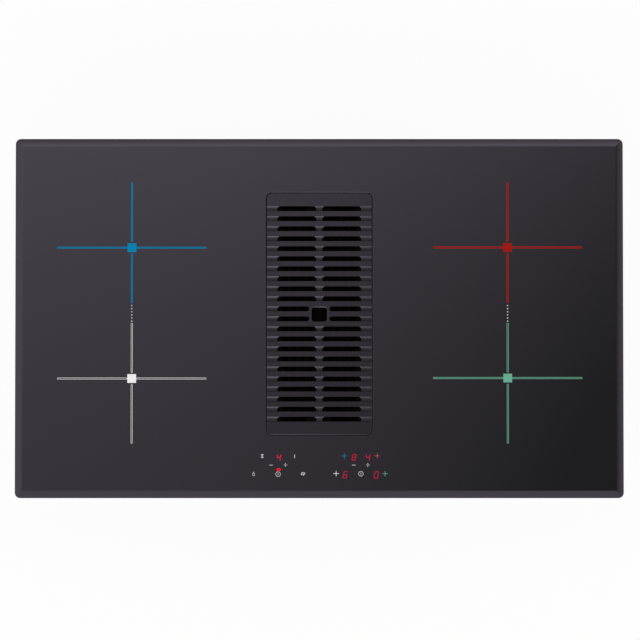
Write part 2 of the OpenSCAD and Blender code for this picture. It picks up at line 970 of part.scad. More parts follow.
module ferrite_bars() {
    bar = [50, 12, 4];
    color([0.25, 0.25, 0.27])
        for (row = ["rear", "front"])
            for (side = ["left", "right"])
                translate([coil_spot([row, side])[0], coil_spot([row, side])[1], carrier_z - bar[2]])
                    for (turn = [0 : 45 : 315])
                        rotate([0, 0, turn])
                            translate([26, -bar[1] / 2, 0])
                                cube(bar);
}

module coil_sensors() {
    color([0.9, 0.9, 0.88])
        for (row = ["rear", "front"])
            for (side = ["left", "right"])
                rod(coil_spot([row, side]), 9, coil_z, glass_z);
}

// Aluminium plate under two coils, on four legs
module shield_plate() {
    low = [160, -178];
    high = [384, 195];
    leg = 6;
    leg_spots = [[163, 187], [377, 187], [161, -105], [377, -177]];
    color([0.8, 0.81, 0.82]) {
        block([low[0], low[1], shield_z], [high[0], high[1], shield_z + 1]);
        for (spot = leg_spots)
            block([spot[0], spot[1], floor_z], [spot[0] + leg, spot[1] + leg, shield_z]);
    }
}

module shield_plate_left() {
    at_side("left")
        shield_plate();
}

module shield_plate_right() {
    at_side("right")
        shield_plate();
}

// Circuit board with its capacitors, chokes and relays
module power_board() {
    top = board_z + board_t;
    color([0.1, 0.35, 0.2])
        translate([board_at[0], board_at[1], 0]) {
            translate([-board_size[0] / 2, -board_size[1] / 2, board_z])
                cube([board_size[0], board_size[1], board_t]);
            for (y = [-120 : 60 : 120])
                rod([50, y], 12, top - 0.5, top + 24);
            for (y = [-90 : 60 : 90])
                block([8, y - 12, top - 0.5], [32, y + 12, top + 16]);
        }
}

module power_board_left() {
    at_side("left")
        power_board();
}

module power_board_right() {
    at_side("right")
        power_board();
}

// Extruded heat sink with upright fins
module heatsink() {
    size = [50, 220];
    base_z = board_z + board_t;
    fins = 8;
    fin_t = 1.6;
    fin_high = 26;
    color([0.75, 0.76, 0.78])
        translate([board_at[0] - 52, board_at[1], 0]) {
            block([-size[0] / 2, -size[1] / 2, base_z], [size[0] / 2, size[1] / 2, base_z + 4]);
            for (fin = [0 : fins - 1])
                translate([-size[0] / 2 + fin * (size[0] - fin_t) / (fins - 1), -size[1] / 2, base_z + 3.5])
                    cube([fin_t, size[1], fin_high - 3.5]);
        }
}

module heatsinks() {
    at_side("left")
        heatsink();
    at_side("right")
        heatsink();
}

// Square fan frame with a round bore, struts and the wheel's pin
module fan_housing() {
    base_h = 2.5;
    color([0.1, 0.1, 0.11])
        translate([fan_at[0], fan_at[1], 0]) {
            difference() {
                slab(fan_size, fan_size, 5, floor_z, floor_z + fan_h);
                rod([0, 0], 38, floor_z - cut, floor_z + fan_h + cut);
            }
            rod([0, 0], 14, floor_z, floor_z + base_h);
            rod([0, 0], 1.5, floor_z, floor_z + 19);
            for (turn = [45 : 90 : 315])
                rotate([0, 0, turn])
                    block([12, -2, floor_z], [39, 2, floor_z + base_h]);
        }
}

module fan_housing_left() {
    at_side("left")
        fan_housing();
}

module fan_housing_right() {
    at_side("right")
        fan_housing();
}

// Fan wheel: hub, blind bore and slanted blades
module fan_wheel() {
    hub_low = floor_z + 3.5;
    hub_high = floor_z + 22;
    blades = 7;
    color([0.13, 0.13, 0.14])
        translate([fan_at[0], fan_at[1], 0])
            difference() {
                union() {
                    rod([0, 0], 15, hub_low, hub_high);
                    for (blade = [0 : blades - 1])
                        rotate([0, 0, blade * 360 / blades])
                            translate([0, 0, (hub_low + hub_high) / 2])
                                rotate([35, 0, 0])
                                    translate([13, -8, -0.75])
                                        cube([23, 16, 1.5]);
                }
                rod([0, 0], 1.5 + running_gap, hub_low - cut, floor_z + 20);
            }
}

module fan_wheel_left() {
    at_side("left")
        fan_wheel();
}

module fan_wheel_right() {
    at_side("right")
        fan_wheel();
}

module touch_board() {
    color([0.1, 0.3, 0.22])
        translate([touch_x, touch_y, touch_z])
            translate([-touch_size[0] / 2, -touch_size[1] / 2, 0])
                cube([touch_size[0], touch_size[1], board_t]);
}

module touch_boards() {
    at_side("left")
        touch_board();
    at_side("right")
        touch_board();
}

module display_modules() {
    low = touch_z + board_t;
    high = glass_z - 0.5;
    color([0.3, 0.05, 0.05]) {
        for (spot = display_spots)
            block([spot[0] - 6, spot[1] - 7, low], [spot[0] + 6, spot[1] + 7, high]);
        block(
            [light_bar_at[0] - 5, light_bar_at[1] - 3, low],
            [light_bar_at[0] + 5, light_bar_at[1] + 3, high]
        );
    }
}

// Lug of the cover's hinge, from the box's front wall
module hinge_lug(from, to) {
    difference() {
        union() {
            translate([from, cover_axis[0], cover_axis[1]])
                rotate([0, 90, 0])
                    cylinder(r = barrel_r, h = to - from);
            block(
                [from, cover_axis[0], cover_axis[1] - barrel_r],
                [to, terminal_y[0] + 0.5, cover_axis[1] + barrel_r]
            );
        }
        translate([from - cut, cover_axis[0], cover_axis[1]])
            rotate([0, 90, 0])
                cylinder(r = cover_pin_r + running_gap, h = to - from + 2 * cut);
    }
}

// Square hole in the terminal box's rear wall, and the grommet's neck in it
module cable_entry(from_y, to_y) {
    half = cable_entry_w / 2;
    block([cable_x - half, from_y, cable_z - half], [cable_x + half, to_y, cable_z + half]);
}

module terminal_box() {
    low = [terminal_x[0], terminal_y[0], terminal_low_z];
    high = [terminal_x[1], terminal_y[1], tray_z];
    wall = terminal_wall;
    color([0.15, 0.15, 0.16]) {
        difference() {
            block(low, high);
            block(low + [wall, wall, -cut], high + [-wall, -wall, cut]);
            cable_entry(terminal_y[1] - wall - cut, terminal_y[1] + cut);
        }
        hinge_lug(terminal_x[0] + 4, terminal_x[0] + 10);
        hinge_lug(terminal_x[1] - 10, terminal_x[1] - 4);
    }
}

module terminal_block() {
    high = tray_z;
    poles = 6;
    size = [72, 22, 16];
    color([0.85, 0.84, 0.78])
        difference() {
            translate([cable_x - size[0] / 2, 176, high - size[2]])
                cube(size);
            for (x = [for (pole = [0 : poles - 1]) cable_x + (pole - (poles - 1) / 2) * 11.5]) {
                rod([x, 187], 3, high - size[2] - cut, high - size[2] + 6);
                translate([x, 176 - cut, high - 8])
                    rotate([-90, 0, 0])
                        cylinder(r = 2.5, h = size[1] + 2 * cut);
            }
        }
}

module terminal_cover() {
    barrel = [terminal_x[0] + 10.5, terminal_x[1] - 10.5];
    plate_high = terminal_low_z - lift_gap;
    color([0.2, 0.2, 0.21]) {
        block(
            [barrel[0], cover_axis[0], plate_high - 2],
            [barrel[1], terminal_y[0] + 2, plate_high]
        );
        block(
            [terminal_x[0], terminal_y[0] + 1.5, plate_high - 2],
            [terminal_x[1], terminal_y[1], plate_high]
        );
        translate([barrel[0], cover_axis[0], cover_axis[1]])
            rotate([0, 90, 0])
                cylinder(r = barrel_r, h = barrel[1] - barrel[0]);
        translate([terminal_x[0] + 4, cover_axis[0], cover_axis[1]])
            rotate([0, 90, 0])
                cylinder(r = cover_pin_r, h = terminal_x[1] - terminal_x[0] - 8);
    }
}

// Cylinder along the cable's axis
module cable_rod(r, from_y, to_y) {
    translate([cable_x, from_y, cable_z])
        rotate([-90, 0, 0])
            cylinder(r = r, h = to_y - from_y);
}

// Rubber grommet in the box's rear wall
module cable_grommet() {
    end_y = terminal_y[1] + 5;
    start_y = end_y - cable_length;
    wall_y = terminal_y[1] - terminal_wall;
    lip_r = cable_entry_w / 2 + 4.5;
    color([0.07, 0.07, 0.07])
        difference() {
            union() {
                cable_rod(lip_r, start_y, wall_y);
                cable_entry(wall_y, terminal_y[1]);
                cable_rod(lip_r, terminal_y[1], end_y);
            }
            cable_rod(cable_r, start_y - cut, end_y + cut);
        }
}

// Clamp arm in its stored place, along the tray wall
module clamp_arm(row, side) {
    at_x = side == "right" ? clamp_at[0] : -clamp_at[0];
    at_y = row == "rear" ? clamp_at[1] : -clamp_at[1];
    color([0.7, 0.71, 0.72])
        translate([at_x, at_y, 0])
            difference() {
                union() {
                    rod([0, 0], clamp_arm_w / 2, clamp_z - 2, clamp_z + clamp_h);
                    translate([0, -clamp_arm_w / 2, clamp_z])
                        cube([clamp_reach, clamp_arm_w, clamp_h]);
                    rod([clamp_reach, 0], clamp_arm_w / 2, clamp_z, clamp_z + clamp_h);
                }
                rod([0, 0], screw_r + running_gap, clamp_z - 2 - cut, clamp_z + clamp_h + cut);
            }
}

module clamp_arm_rear_left() {
    clamp_arm("rear", "left");
}

module clamp_arm_rear_right() {
    clamp_arm("rear", "right");
}

module clamp_arm_front_left() {
    clamp_arm("front", "left");
}

module clamp_arm_front_right() {
    clamp_arm("front", "right");
}

// Screw that stands on its head, with the head below
module screw_up(at, head_top, tip) {
    rod(at, screw_r, head_top - 0.5, tip);
    rod(at, screw_head_r, head_top - screw_head_h, head_top);
}

// Screw that hangs from its head
module screw_down(at, head_low, tip) {
    rod(at, screw_r, tip, head_low + 0.5);
    rod(at, screw_head_r, head_low, head_low + screw_head_h);
}

module clamp_screws() {
    color([0.8, 0.8, 0.78])
        for (sx = [-1, 1])
            for (sy = [-1, 1])
                screw_up([sx * clamp_at[0], sy * clamp_at[1]], -52, -12);
}

module housing_screws() {
    color([0.8, 0.8, 0.78]) {
        for (spot = ear_spots)
            screw_up(spot, split_z - ear_h, split_z + ear_h + 1);
        for (side = [-1, 1])
            for (y = plenum_screw_ys)
                screw_up([side * plenum_screw_x, y], tray_z - 2, floor_z + 3);
        for (turn = [45 : 90 : 315]) {
            screw_down(blower + inlet_screw_r * [cos(turn), sin(turn)], plenum_z + 3.5, plenum_z - 3);
            screw_down(blower + motor_bolt_r * [cos(turn), sin(turn)], can_z, scroll_z + 0.5);
        }
    }
}

glass_top();
worktop_seal();
glass_bond_beads();
cover_grille();
grille_pads();
filter_frame();
filter_mesh_left();
filter_mesh_right();
filter_finger_tabs();
drip_tray();
chassis_floor();
chassis_walls();
tray_fittings();
suction_well();
plenum_box();
blower_upper_shell();
blower_lower_shell();
inlet_ring();
impeller_hub();
impeller_cage();
motor_housing();
motor_stator();
motor_rotor();
motor_shaft();
motor_bearings();
motor_grommets();
outlet_spigot();
backdraft_flap();
blower_control_box();
coil_winding_rear_left();
coil_winding_rear_right();
coil_winding_front_left();
coil_winding_front_right();
coil_carrier_rear_left();
coil_carrier_rear_right();
coil_carrier_front_left();
coil_carrier_front_right();
ferrite_bars();
coil_sensors();
shield_plate_left();
shield_plate_right();
power_board_left();
power_board_right();
heatsinks();
fan_housing_left();
fan_housing_right();
fan_wheel_left();
fan_wheel_right();
touch_boards();
display_modules();
terminal_box();
terminal_block();
terminal_cover();
cable_grommet();
clamp_arm_rear_left();
clamp_arm_rear_right();
clamp_arm_front_left();
clamp_arm_front_right();
clamp_screws();
housing_screws();
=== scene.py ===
"""Looks of a built-in induction hob with a centre downdraft extractor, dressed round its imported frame."""

import json
import logging
import math
from contextlib import contextmanager
from dataclasses import dataclass, field
from enum import Enum
from typing import Callable, Iterator, Sequence

import bpy
from mathutils import Matrix, Vector


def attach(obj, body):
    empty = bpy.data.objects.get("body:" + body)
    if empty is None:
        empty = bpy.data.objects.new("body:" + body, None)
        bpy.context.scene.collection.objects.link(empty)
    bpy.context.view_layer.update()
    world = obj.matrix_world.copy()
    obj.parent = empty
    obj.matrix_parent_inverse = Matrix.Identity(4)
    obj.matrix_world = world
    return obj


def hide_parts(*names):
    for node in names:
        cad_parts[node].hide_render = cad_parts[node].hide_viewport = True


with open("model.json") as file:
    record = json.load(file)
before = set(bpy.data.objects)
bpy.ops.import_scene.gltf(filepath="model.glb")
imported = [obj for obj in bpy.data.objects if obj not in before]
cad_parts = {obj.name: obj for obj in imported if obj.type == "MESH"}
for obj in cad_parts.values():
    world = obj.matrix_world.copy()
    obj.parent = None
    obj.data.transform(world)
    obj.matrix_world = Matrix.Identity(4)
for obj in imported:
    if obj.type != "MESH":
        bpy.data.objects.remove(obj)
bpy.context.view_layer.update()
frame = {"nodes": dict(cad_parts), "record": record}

MM = 0.001
ROOT = "root"
LOG = logging.getLogger("hob")

Point = tuple[float, float]
Colour = tuple[float, float, float]
Piece = bpy.types.Object
Socket = bpy.types.NodeSocket
Value = Socket | float | Sequence[float]
Inputs = dict[str | int, Value]
Test = Callable[..., bool]


def srgb(red: int, green: int, blue: int) -> Colour:
    """Turns a display colour into the linear colour that a shader takes.

    Args:
        red: Red, 0 to 255.
        green: Green, 0 to 255.
        blue: Blue, 0 to 255.

    Returns:
        The colour as three linear values.
    """
    def linear(value: int) -> float:
        """Undoes the display curve of one channel."""
        share = value / 255
        return share / 12.92 if share <= 0.04045 else ((share + 0.055) / 1.055) ** 2.4

    return linear(red), linear(green), linear(blue)


class Pattern(Enum):
    """How a finish varies over its surface: the texture node and the output that it uses."""

    GRAIN = ("TexNoise", "Fac")
    SPANGLE = ("TexVoronoi", "Color")
    MESH = ("TexWave", "Fac")
    CELLS = ("TexVoronoi", "Distance")
    TRACES = ("TexBrick", "Fac")


class Graph:
    """A node tree whose inputs take sockets and plain values alike."""

    def __init__(self, tree: bpy.types.NodeTree) -> None:
        """Keeps the tree."""
        self.tree = tree

    def feed(self, node: bpy.types.Node, inputs: Inputs) -> None:
        """Links or sets a node's inputs.

        Args:
            node: The node.
            inputs: A socket or a plain value for the name or number of each input.
        """
        for key, value in inputs.items():
            if isinstance(value, Socket):
                self.tree.links.new(value, node.inputs[key])
            else:
                node.inputs[key].default_value = value

    def add(self, kind: str, inputs: Inputs, output: str | int = 0, **settings: str) -> Socket:
        """Adds a node.

        Args:
            kind: The node's type, without the words that all shader nodes share.
            inputs: As in feed.
            output: The output to hand out.
            **settings: The node's own settings.

        Returns:
            The chosen output.
        """
        node = self.tree.nodes.new(f"ShaderNode{kind}")
        for key, value in settings.items():
            setattr(node, key, value)
        self.feed(node, inputs)
        return node.outputs[output]

    def sum(self, operation: str, first: Value, second: Value) -> Socket:
        """Adds one sum of two values."""
        return self.add("Math", {0: first, 1: second}, operation=operation)


@dataclass(frozen=True)
class Finish:
    """One finish: its two tones, its pattern and how it takes light."""

    name: str
    tone: Colour
    second_tone: Colour
    scale: float
    roughness: Point
    bump: float = 0.0
    pattern: Pattern = Pattern.GRAIN
    detail: float = 5.0
    metallic: float = 0.0
    ior: float = 1.5
    tint: Colour = (1.0, 1.0, 1.0)
    glow: float = 0.0
    stretch: tuple[float, float, float] = (1.0, 1.0, 1.0)

    def build(self) -> bpy.types.Material:
        """Makes the material once and hands out the same one afterwards.

        Returns:
            The material.
        """
        if self.name in bpy.data.materials:
            return bpy.data.materials[self.name]
        material = bpy.data.materials.new(self.name)
        material.use_nodes = True
        graph = Graph(material.node_tree)
        where = graph.add("Mapping", {"Vector": graph.add("TexCoord", {}, "Object"), "Scale": self.stretch})
        height = self._height(graph, where)
        tones = graph.add("Mix", {"Factor": height, "A": (*self.tone, 1.0), "B": (*self.second_tone, 1.0)},
                          "Result", data_type="RGBA")
        low, high = self.roughness
        look = {
            "Base Color": tones, "Metallic": self.metallic, "IOR": self.ior,
            "Specular Tint": (*self.tint, 1.0),
            "Roughness": graph.add("MapRange", {"Value": height, "To Min": low, "To Max": high}),
        }
        if self.bump:
            look["Normal"] = graph.add("Bump", {"Height": height, "Strength": 1.0, "Distance": self.bump})
        if self.glow:
            look |= {"Emission Color": tones, "Emission Strength": self.glow}
        graph.feed(material.node_tree.nodes["Principled BSDF"], look)
        return material

    def _height(self, graph: Graph, where: Socket) -> Socket:
        """Adds the pattern's textures.

        Args:
            graph: The material's nodes.
            where: The coordinates to read.

        Returns:
            The socket that holds the pattern, 0 to 1.
        """
        texture, output = self.pattern.value
        inputs = {"Vector": where, "Scale": self.scale}
        if self.pattern is Pattern.MESH:
            waves = (graph.add(texture, inputs, output, bands_direction=axis) for axis in "XY")
            return graph.sum("MULTIPLY", *waves)
        if self.pattern is not Pattern.TRACES:
            inputs["Detail"] = self.detail
        return graph.add(texture, inputs, output)


GLASS = Finish("dark_glass", srgb(28, 28, 30), srgb(30, 30, 32), 900.0, (0.045, 0.07), 0.0, ior=1.63,
               tint=(0.89, 0.8, 1.0))
GRILLE_COAT = Finish("grille_coat", srgb(15, 15, 17), srgb(18, 18, 20), 2600.0, (0.14, 0.2), 0.000004,
                     ior=1.6, tint=(0.89, 0.8, 1.0))
# The filter mesh and the filter frame are coloured near black as painted shade, so that the slots in the
# grille render black.
FILTER_MESH_PAINTED_SHADE = Finish("filter_coat", srgb(7, 7, 8), srgb(11, 11, 12), 240.0, (0.6, 0.75), 0.0002, ior=1.25,
                     pattern=Pattern.MESH)
FILTER_FRAME_PAINTED_SHADE = Finish("filter_frame_painted_shade", srgb(9, 9, 10), srgb(13, 13, 14), 1500.0, (0.55, 0.7), 0.00002,
                      ior=1.25)
# The drip tray is coloured near black as painted shade, so that the slots in the grille render black.
DRIP_TRAY_PAINTED_SHADE = Finish("drip_tray_painted_shade", srgb(9, 9, 10), srgb(14, 14, 15), 900.0, (0.5, 0.62), 0.00002, ior=1.25)
ZINC_SHEET = Finish("zinc_sheet", srgb(158, 161, 165), srgb(190, 193, 196), 75.0, (0.3, 0.48), 0.0,
                    metallic=1.0, pattern=Pattern.SPANGLE)
SHIELD_SHEET = Finish("shield_sheet", srgb(186, 188, 190), srgb(208, 210, 212), 120.0, (0.3, 0.42), 0.00001,
                      metallic=1.0, stretch=(0.6, 18.0, 1.0))
SINK_METAL = Finish("sink_metal", srgb(176, 178, 182), srgb(198, 200, 203), 300.0, (0.32, 0.45), 0.00001,
                    metallic=1.0, stretch=(6.0, 0.2, 1.0))
CAST_METAL = Finish("cast_metal", srgb(150, 152, 156), srgb(172, 174, 178), 700.0, (0.4, 0.58), 0.00006,
                    metallic=1.0)
BRIGHT_STEEL = Finish("bright_steel", srgb(196, 197, 200), srgb(214, 215, 218), 900.0, (0.14, 0.26), 0.0,
                      metallic=1.0, stretch=(1.0, 1.0, 9.0))
CORE_STEEL = Finish("core_steel", srgb(96, 97, 101), srgb(126, 127, 131), 400.0, (0.3, 0.5), 0.00002,
                    metallic=1.0, stretch=(0.4, 0.4, 12.0))
ZINC_SCREW = Finish("zinc_screw", srgb(188, 188, 180), srgb(210, 208, 196), 1200.0, (0.22, 0.36), 0.00001,
                    metallic=1.0)
CLAMP_STEEL = Finish("clamp_steel", srgb(168, 170, 172), srgb(196, 197, 198), 240.0, (0.28, 0.44), 0.00001,
                     metallic=1.0, pattern=Pattern.SPANGLE)
COPPER_WIRE = Finish("copper_wire", srgb(150, 78, 40), srgb(196, 116, 66), 500.0, (0.25, 0.4), 0.00008,
                     metallic=0.85)
MOULDED = Finish("moulded_black", srgb(38, 38, 40), srgb(47, 47, 50), 1100.0, (0.48, 0.62), 0.00005)
FLAP_PLASTIC = Finish("flap_plastic", srgb(72, 73, 76), srgb(82, 83, 86), 900.0, (0.42, 0.56), 0.00004)
IMPELLER_PLASTIC = Finish("impeller_plastic", srgb(86, 88, 92), srgb(98, 100, 104), 900.0, (0.4, 0.55),
                          0.00004)
WELL_PLASTIC = Finish("well_plastic", srgb(12, 12, 13), srgb(17, 17, 18), 1200.0, (0.6, 0.72), 0.00003,
                      ior=1.3)
FAN_PLASTIC = Finish("fan_plastic", srgb(30, 30, 32), srgb(38, 38, 40), 1000.0, (0.4, 0.52), 0.00003)
PALE_PLASTIC = Finish("pale_plastic", srgb(206, 202, 192), srgb(216, 213, 204), 900.0, (0.42, 0.56), 0.00003)
FERRITE = Finish("ferrite", srgb(52, 53, 56), srgb(68, 69, 72), 1600.0, (0.45, 0.6), 0.00005)
CERAMIC = Finish("ceramic", srgb(226, 224, 218), srgb(236, 234, 229), 800.0, (0.3, 0.42), 0.00002)
LAMINATE = Finish("laminate", srgb(18, 78, 48), srgb(44, 118, 76), 90.0, (0.24, 0.38), 0.00003,
                  pattern=Pattern.TRACES)
RUBBER = Finish("rubber", srgb(24, 24, 25), srgb(33, 33, 34), 1400.0, (0.7, 0.85), 0.00005)
FOAM = Finish("foam", srgb(34, 34, 35), srgb(50, 50, 51), 900.0, (0.85, 0.95), 0.0002, pattern=Pattern.CELLS)
SILICONE = Finish("silicone", srgb(40, 40, 42), srgb(48, 48, 50), 300.0, (0.35, 0.5), 0.00004)
TINTED = Finish("tinted_window", srgb(70, 14, 18), srgb(96, 18, 24), 500.0, (0.12, 0.2), 0.0)


def ink(name: str, colour: Colour) -> Finish:
    """Makes the finish of a fired-on print.

    Args:
        name: Name of the finish.
        colour: Its linear colour.

    Returns:
        The finish, a little lighter in places where the print is thick.
    """
    gain, lift = 1.12, 0.004
    second = tuple(min(1.0, channel * gain + lift) for channel in colour)
    return Finish(name, colour, second, 1800.0, (0.4, 0.55), 0.000005, ior=1.08)


WHITE_INK = ink("ink_white", srgb(247, 247, 249))
BLUE_INK = ink("ink_blue", srgb(0, 132, 180))
BLUE_LINE_INK = ink("ink_blue_lines", srgb(0, 118, 160))
RED_INK = ink("ink_red", srgb(160, 24, 18))
GREEN_INK = ink("ink_green", srgb(108, 176, 148))
GREY_INK = ink("ink_grey", srgb(196, 196, 200))
DIM_INK = ink("ink_dim", srgb(146, 146, 150))
ORANGE_INK = ink("ink_orange", srgb(196, 94, 64))
DIGIT_LIGHT = Finish("digit_light", srgb(182, 10, 50), srgb(192, 14, 56), 2000.0, (0.4, 0.5), ior=1.08,
                     glow=0.7)
DIM_DIGIT_LIGHT = Finish("dim_digit_light", srgb(178, 4, 48), srgb(188, 8, 54), 2000.0, (0.4, 0.5), ior=1.08,
                         glow=0.62)
LAMP_LIGHT = Finish("lamp_light", srgb(236, 4, 20), srgb(240, 8, 26), 2000.0, (0.4, 0.5), ior=1.08, glow=0.6)


class Bench:
    """Modelling moves, made with Blender's own operators on one piece at a time.

    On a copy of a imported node, points within MERGE millimetres are one. Edges flatter than FLAT degrees are
    dropped, those sharper than SHARP are rounded, and those flatter than SMOOTH are shaded smooth.
    """

    MERGE = 0.005
    FLAT = 1.0
    SHARP = 32.0
    SMOOTH = 35.0

    @staticmethod
    def clear() -> None:
        """Leaves nothing selected."""
        if bpy.context.object and bpy.context.object.mode != "OBJECT":
            bpy.ops.object.mode_set(mode="OBJECT")
        bpy.ops.object.select_all(action="DESELECT")
        bpy.context.view_layer.objects.active = None

    @staticmethod
    def focus(piece: Piece) -> None:
        """Selects one piece and makes it the active one.

        Args:
            piece: The piece.
        """
        Bench.clear()
        piece.select_set(True)
        bpy.context.view_layer.objects.active = piece

    @staticmethod
    @contextmanager
    def editing(piece: Piece, everything: bool = False) -> Iterator[None]:
        """Edits one piece's mesh, and leaves edit mode afterwards.

        Args:
            piece: The piece to edit.
            everything: Whether to start with all of it selected.
        """
        Bench.focus(piece)
        bpy.ops.object.mode_set(mode="EDIT")
        if everything:
            bpy.ops.mesh.select_all(action="SELECT")
        yield
        bpy.ops.object.mode_set(mode="OBJECT")

    @staticmethod
    def name(piece_name: str) -> Piece:
        """Names the newest piece and its mesh, and fixes its place and size in the mesh.

        Args:
            piece_name: Name of the piece.

        Returns:
            The piece.
        """
        piece = bpy.context.object
        bpy.ops.object.transform_apply(location=True, rotation=True, scale=True)
        piece.name = piece_name
        piece.data.name = piece_name
        return piece

    @staticmethod
    def block(piece_name: str, low: Sequence[float], high: Sequence[float]) -> Piece:
        """Adds a box between two corners given in millimetres.

        Args:
            piece_name: Name of the piece.
            low: Lowest corner.
            high: Highest corner.

        Returns:
            The new piece.
        """
        Bench.clear()
        centre = [(a + b) / 2 * MM for a, b in zip(low, high)]
        bpy.ops.mesh.primitive_cube_add(size=1, location=centre)
        bpy.context.object.scale = [(b - a) * MM for a, b in zip(low, high)]
        return Bench.name(piece_name)

    @staticmethod
    def outline(piece_name: str, points: Sequence[Point], z: float) -> Piece:
        """Adds a flat face with the given outline, in millimetres.

        Args:
            piece_name: Name of the piece.
            points: The outline seen from above.
            z: Its height.

        Returns:
            The new piece.
        """
        return Bench.face(piece_name, [(x, y, z) for x, y in points])

    @staticmethod
    def plate(piece_name: str, points: Sequence[Point], low: float, high: float) -> Piece:
        """Adds a solid with the given outline between two heights, in millimetres."""
        return Bench.extrude(Bench.outline(piece_name, points, low), (0, 0, high - low))

    @staticmethod
    def face(piece_name: str, points: Sequence[Sequence[float]]) -> Piece:
        """Adds one flat face through the given points, in millimetres.

        Args:
            piece_name: Name of the piece.
            points: Its corners in order.

        Returns:
            The new piece.
        """
        Bench.clear()
        bpy.ops.mesh.primitive_circle_add(vertices=len(points), radius=1, fill_type="NGON")
        piece = Bench.name(piece_name)
        for vertex, point in zip(piece.data.vertices, points):
            vertex.co = Vector(point) * MM
        return piece

    @staticmethod
    def extrude(piece: Piece, along: Sequence[float]) -> Piece:
        """Extrudes a flat piece and closes it.

        Args:
            piece: The flat piece.
            along: How far, in millimetres along each axis.

        Returns:
            The same piece.
        """
        with Bench.editing(piece, everything=True):
            bpy.ops.mesh.extrude_region_move(TRANSFORM_OT_translate={"value": [step * MM for step in along]})
            bpy.ops.mesh.select_all(action="SELECT")
            bpy.ops.mesh.normals_make_consistent(inside=False)
        return piece

    @staticmethod
    def pick(piece: Piece, kind: str, test: Test) -> None:
        """Selects the edges or faces that pass a test, and no others.

        Args:
            piece: The piece, in object mode.
            kind: EDGE or FACE.
            test: Takes an edge's two ends or a face's middle, in millimetres, and says whether it counts.
        """
        with Bench.editing(piece):
            bpy.ops.mesh.select_mode(type=kind)
            bpy.ops.mesh.select_all(action="DESELECT")
        mesh = piece.data
        if kind == "FACE":
            for face in mesh.polygons:
                face.select = test(face.center / MM)
            return
        for edge in mesh.edges:
            edge.select = test(*(mesh.vertices[index].co / MM for index in edge.vertices))

    @staticmethod
    def round_edges(piece: Piece, test: Test, width: float, segments: int = 2) -> None:
        """Bevels the edges that pass a test.

        Args:
            piece: The piece.
            test: As in pick.
            width: Bevel width in millimetres.
            segments: Steps across the bevel.
        """
        Bench.pick(piece, "EDGE", test)
        with Bench.editing(piece):
            bpy.ops.mesh.bevel(offset=width * MM, segments=segments, affect="EDGES", clamp_overlap=True)

    @staticmethod
    def apply(piece: Piece, kind: str, **settings: object) -> None:
        """Adds one modifier with its settings and applies it.

        Args:
            piece: The piece.
            kind: The modifier's type.
            **settings: Its settings.
        """
        Bench.focus(piece)
        modifier = piece.modifiers.new(kind.lower(), kind)
        for key, value in settings.items():
            setattr(modifier, key, value)
        bpy.ops.object.modifier_apply(modifier=modifier.name)

    @staticmethod
    def cut(piece: Piece, cutter: Piece) -> None:
        """Takes a cutter's shape out of a piece and removes the cutter."""
        Bench.apply(piece, "BOOLEAN", operation="DIFFERENCE", solver="EXACT", object=cutter)
        bpy.data.objects.remove(cutter, do_unlink=True)

    @staticmethod
    def join(piece_name: str, pieces: Sequence[Piece]) -> Piece:
        """Joins pieces into one.

        Args:
            piece_name: Name of the joined piece.
            pieces: The pieces.

        Returns:
            The joined piece.
        """
        Bench.clear()
        for piece in pieces:
            piece.select_set(True)
        bpy.context.view_layer.objects.active = pieces[0]
        if len(pieces) > 1:
            bpy.ops.object.join()
        joined = bpy.context.object
        joined.name = piece_name
        joined.data.name = piece_name
        return joined

    @staticmethod
    def smooth(piece: Piece, degrees: float) -> None:
        """Shades a piece smooth across edges flatter than an angle."""
        Bench.focus(piece)
        bpy.ops.object.shade_smooth_by_angle(angle=math.radians(degrees))

    @staticmethod
    def copy_node(node: str, piece_name: str, round_by: float) -> Piece:
        """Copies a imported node, merges its triangles and rounds its sharp edges.

        Args:
            node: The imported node.
            piece_name: Name of the new piece.
            round_by: Width of the rounding in millimetres.

        Returns:
            The new piece, which stands for the node.
        """
        Bench.clear()
        source = frame["nodes"][node]
        piece = bpy.data.objects.new(piece_name, source.data.copy())
        bpy.context.scene.collection.objects.link(piece)
        piece.data.name = piece_name
        piece.data.materials.clear()
        with Bench.editing(piece, everything=True):
            bpy.ops.mesh.remove_doubles(threshold=Bench.MERGE * MM)
            bpy.ops.mesh.dissolve_limited(angle_limit=math.radians(Bench.FLAT))
            bpy.ops.mesh.select_all(action="SELECT")
            bpy.ops.mesh.normals_make_consistent(inside=False)
        Bench.apply(piece, "BEVEL", width=round_by * MM, segments=2, limit_method="ANGLE",
                    angle_limit=math.radians(Bench.SHARP), use_clamp_overlap=True, miter_outer="MITER_ARC")
        Bench.smooth(piece, Bench.SMOOTH)
        Bench.apply(piece, "WEIGHTED_NORMAL", keep_sharp=True)
        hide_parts(node)
        return piece


def settle(piece: Piece, body: str, finish: Finish) -> Piece:
    """Gives a finished piece its body and finish, and reports it.

    Args:
        piece: The piece.
        body: The body that it moves with.
        finish: Its finish.

    Returns:
        The piece.
    """
    piece.data.materials.clear()
    piece.data.materials.append(finish.build())
    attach(piece, body)
    LOG.info("%s rides on %s, finish %s, %d faces", piece.name, body, finish.name, len(piece.data.polygons))
    return piece


def polar(centre: Point, reach: float, degrees: float) -> Point:
    """Works out the point that lies at a distance and an angle from another."""
    angle = math.radians(degrees)
    return centre[0] + reach * math.cos(angle), centre[1] + reach * math.sin(angle)


def stadium(centre: Point, size: Point, radius: float, steps: int = 6) -> list[Point]:
    """Works out a rectangle with round corners.

    Args:
        centre: Its middle.
        size: Its width and depth.
        radius: Corner radius.
        steps: Steps round each corner.

    Returns:
        The outline, anticlockwise.
    """
    points: list[Point] = []
    for corner, (sx, sy) in enumerate(((1, 1), (-1, 1), (-1, -1), (1, -1))):
        middle = (centre[0] + sx * (size[0] / 2 - radius), centre[1] + sy * (size[1] / 2 - radius))
        points.extend(polar(middle, radius, 90 * (corner + step / steps)) for step in range(steps + 1))
    return points


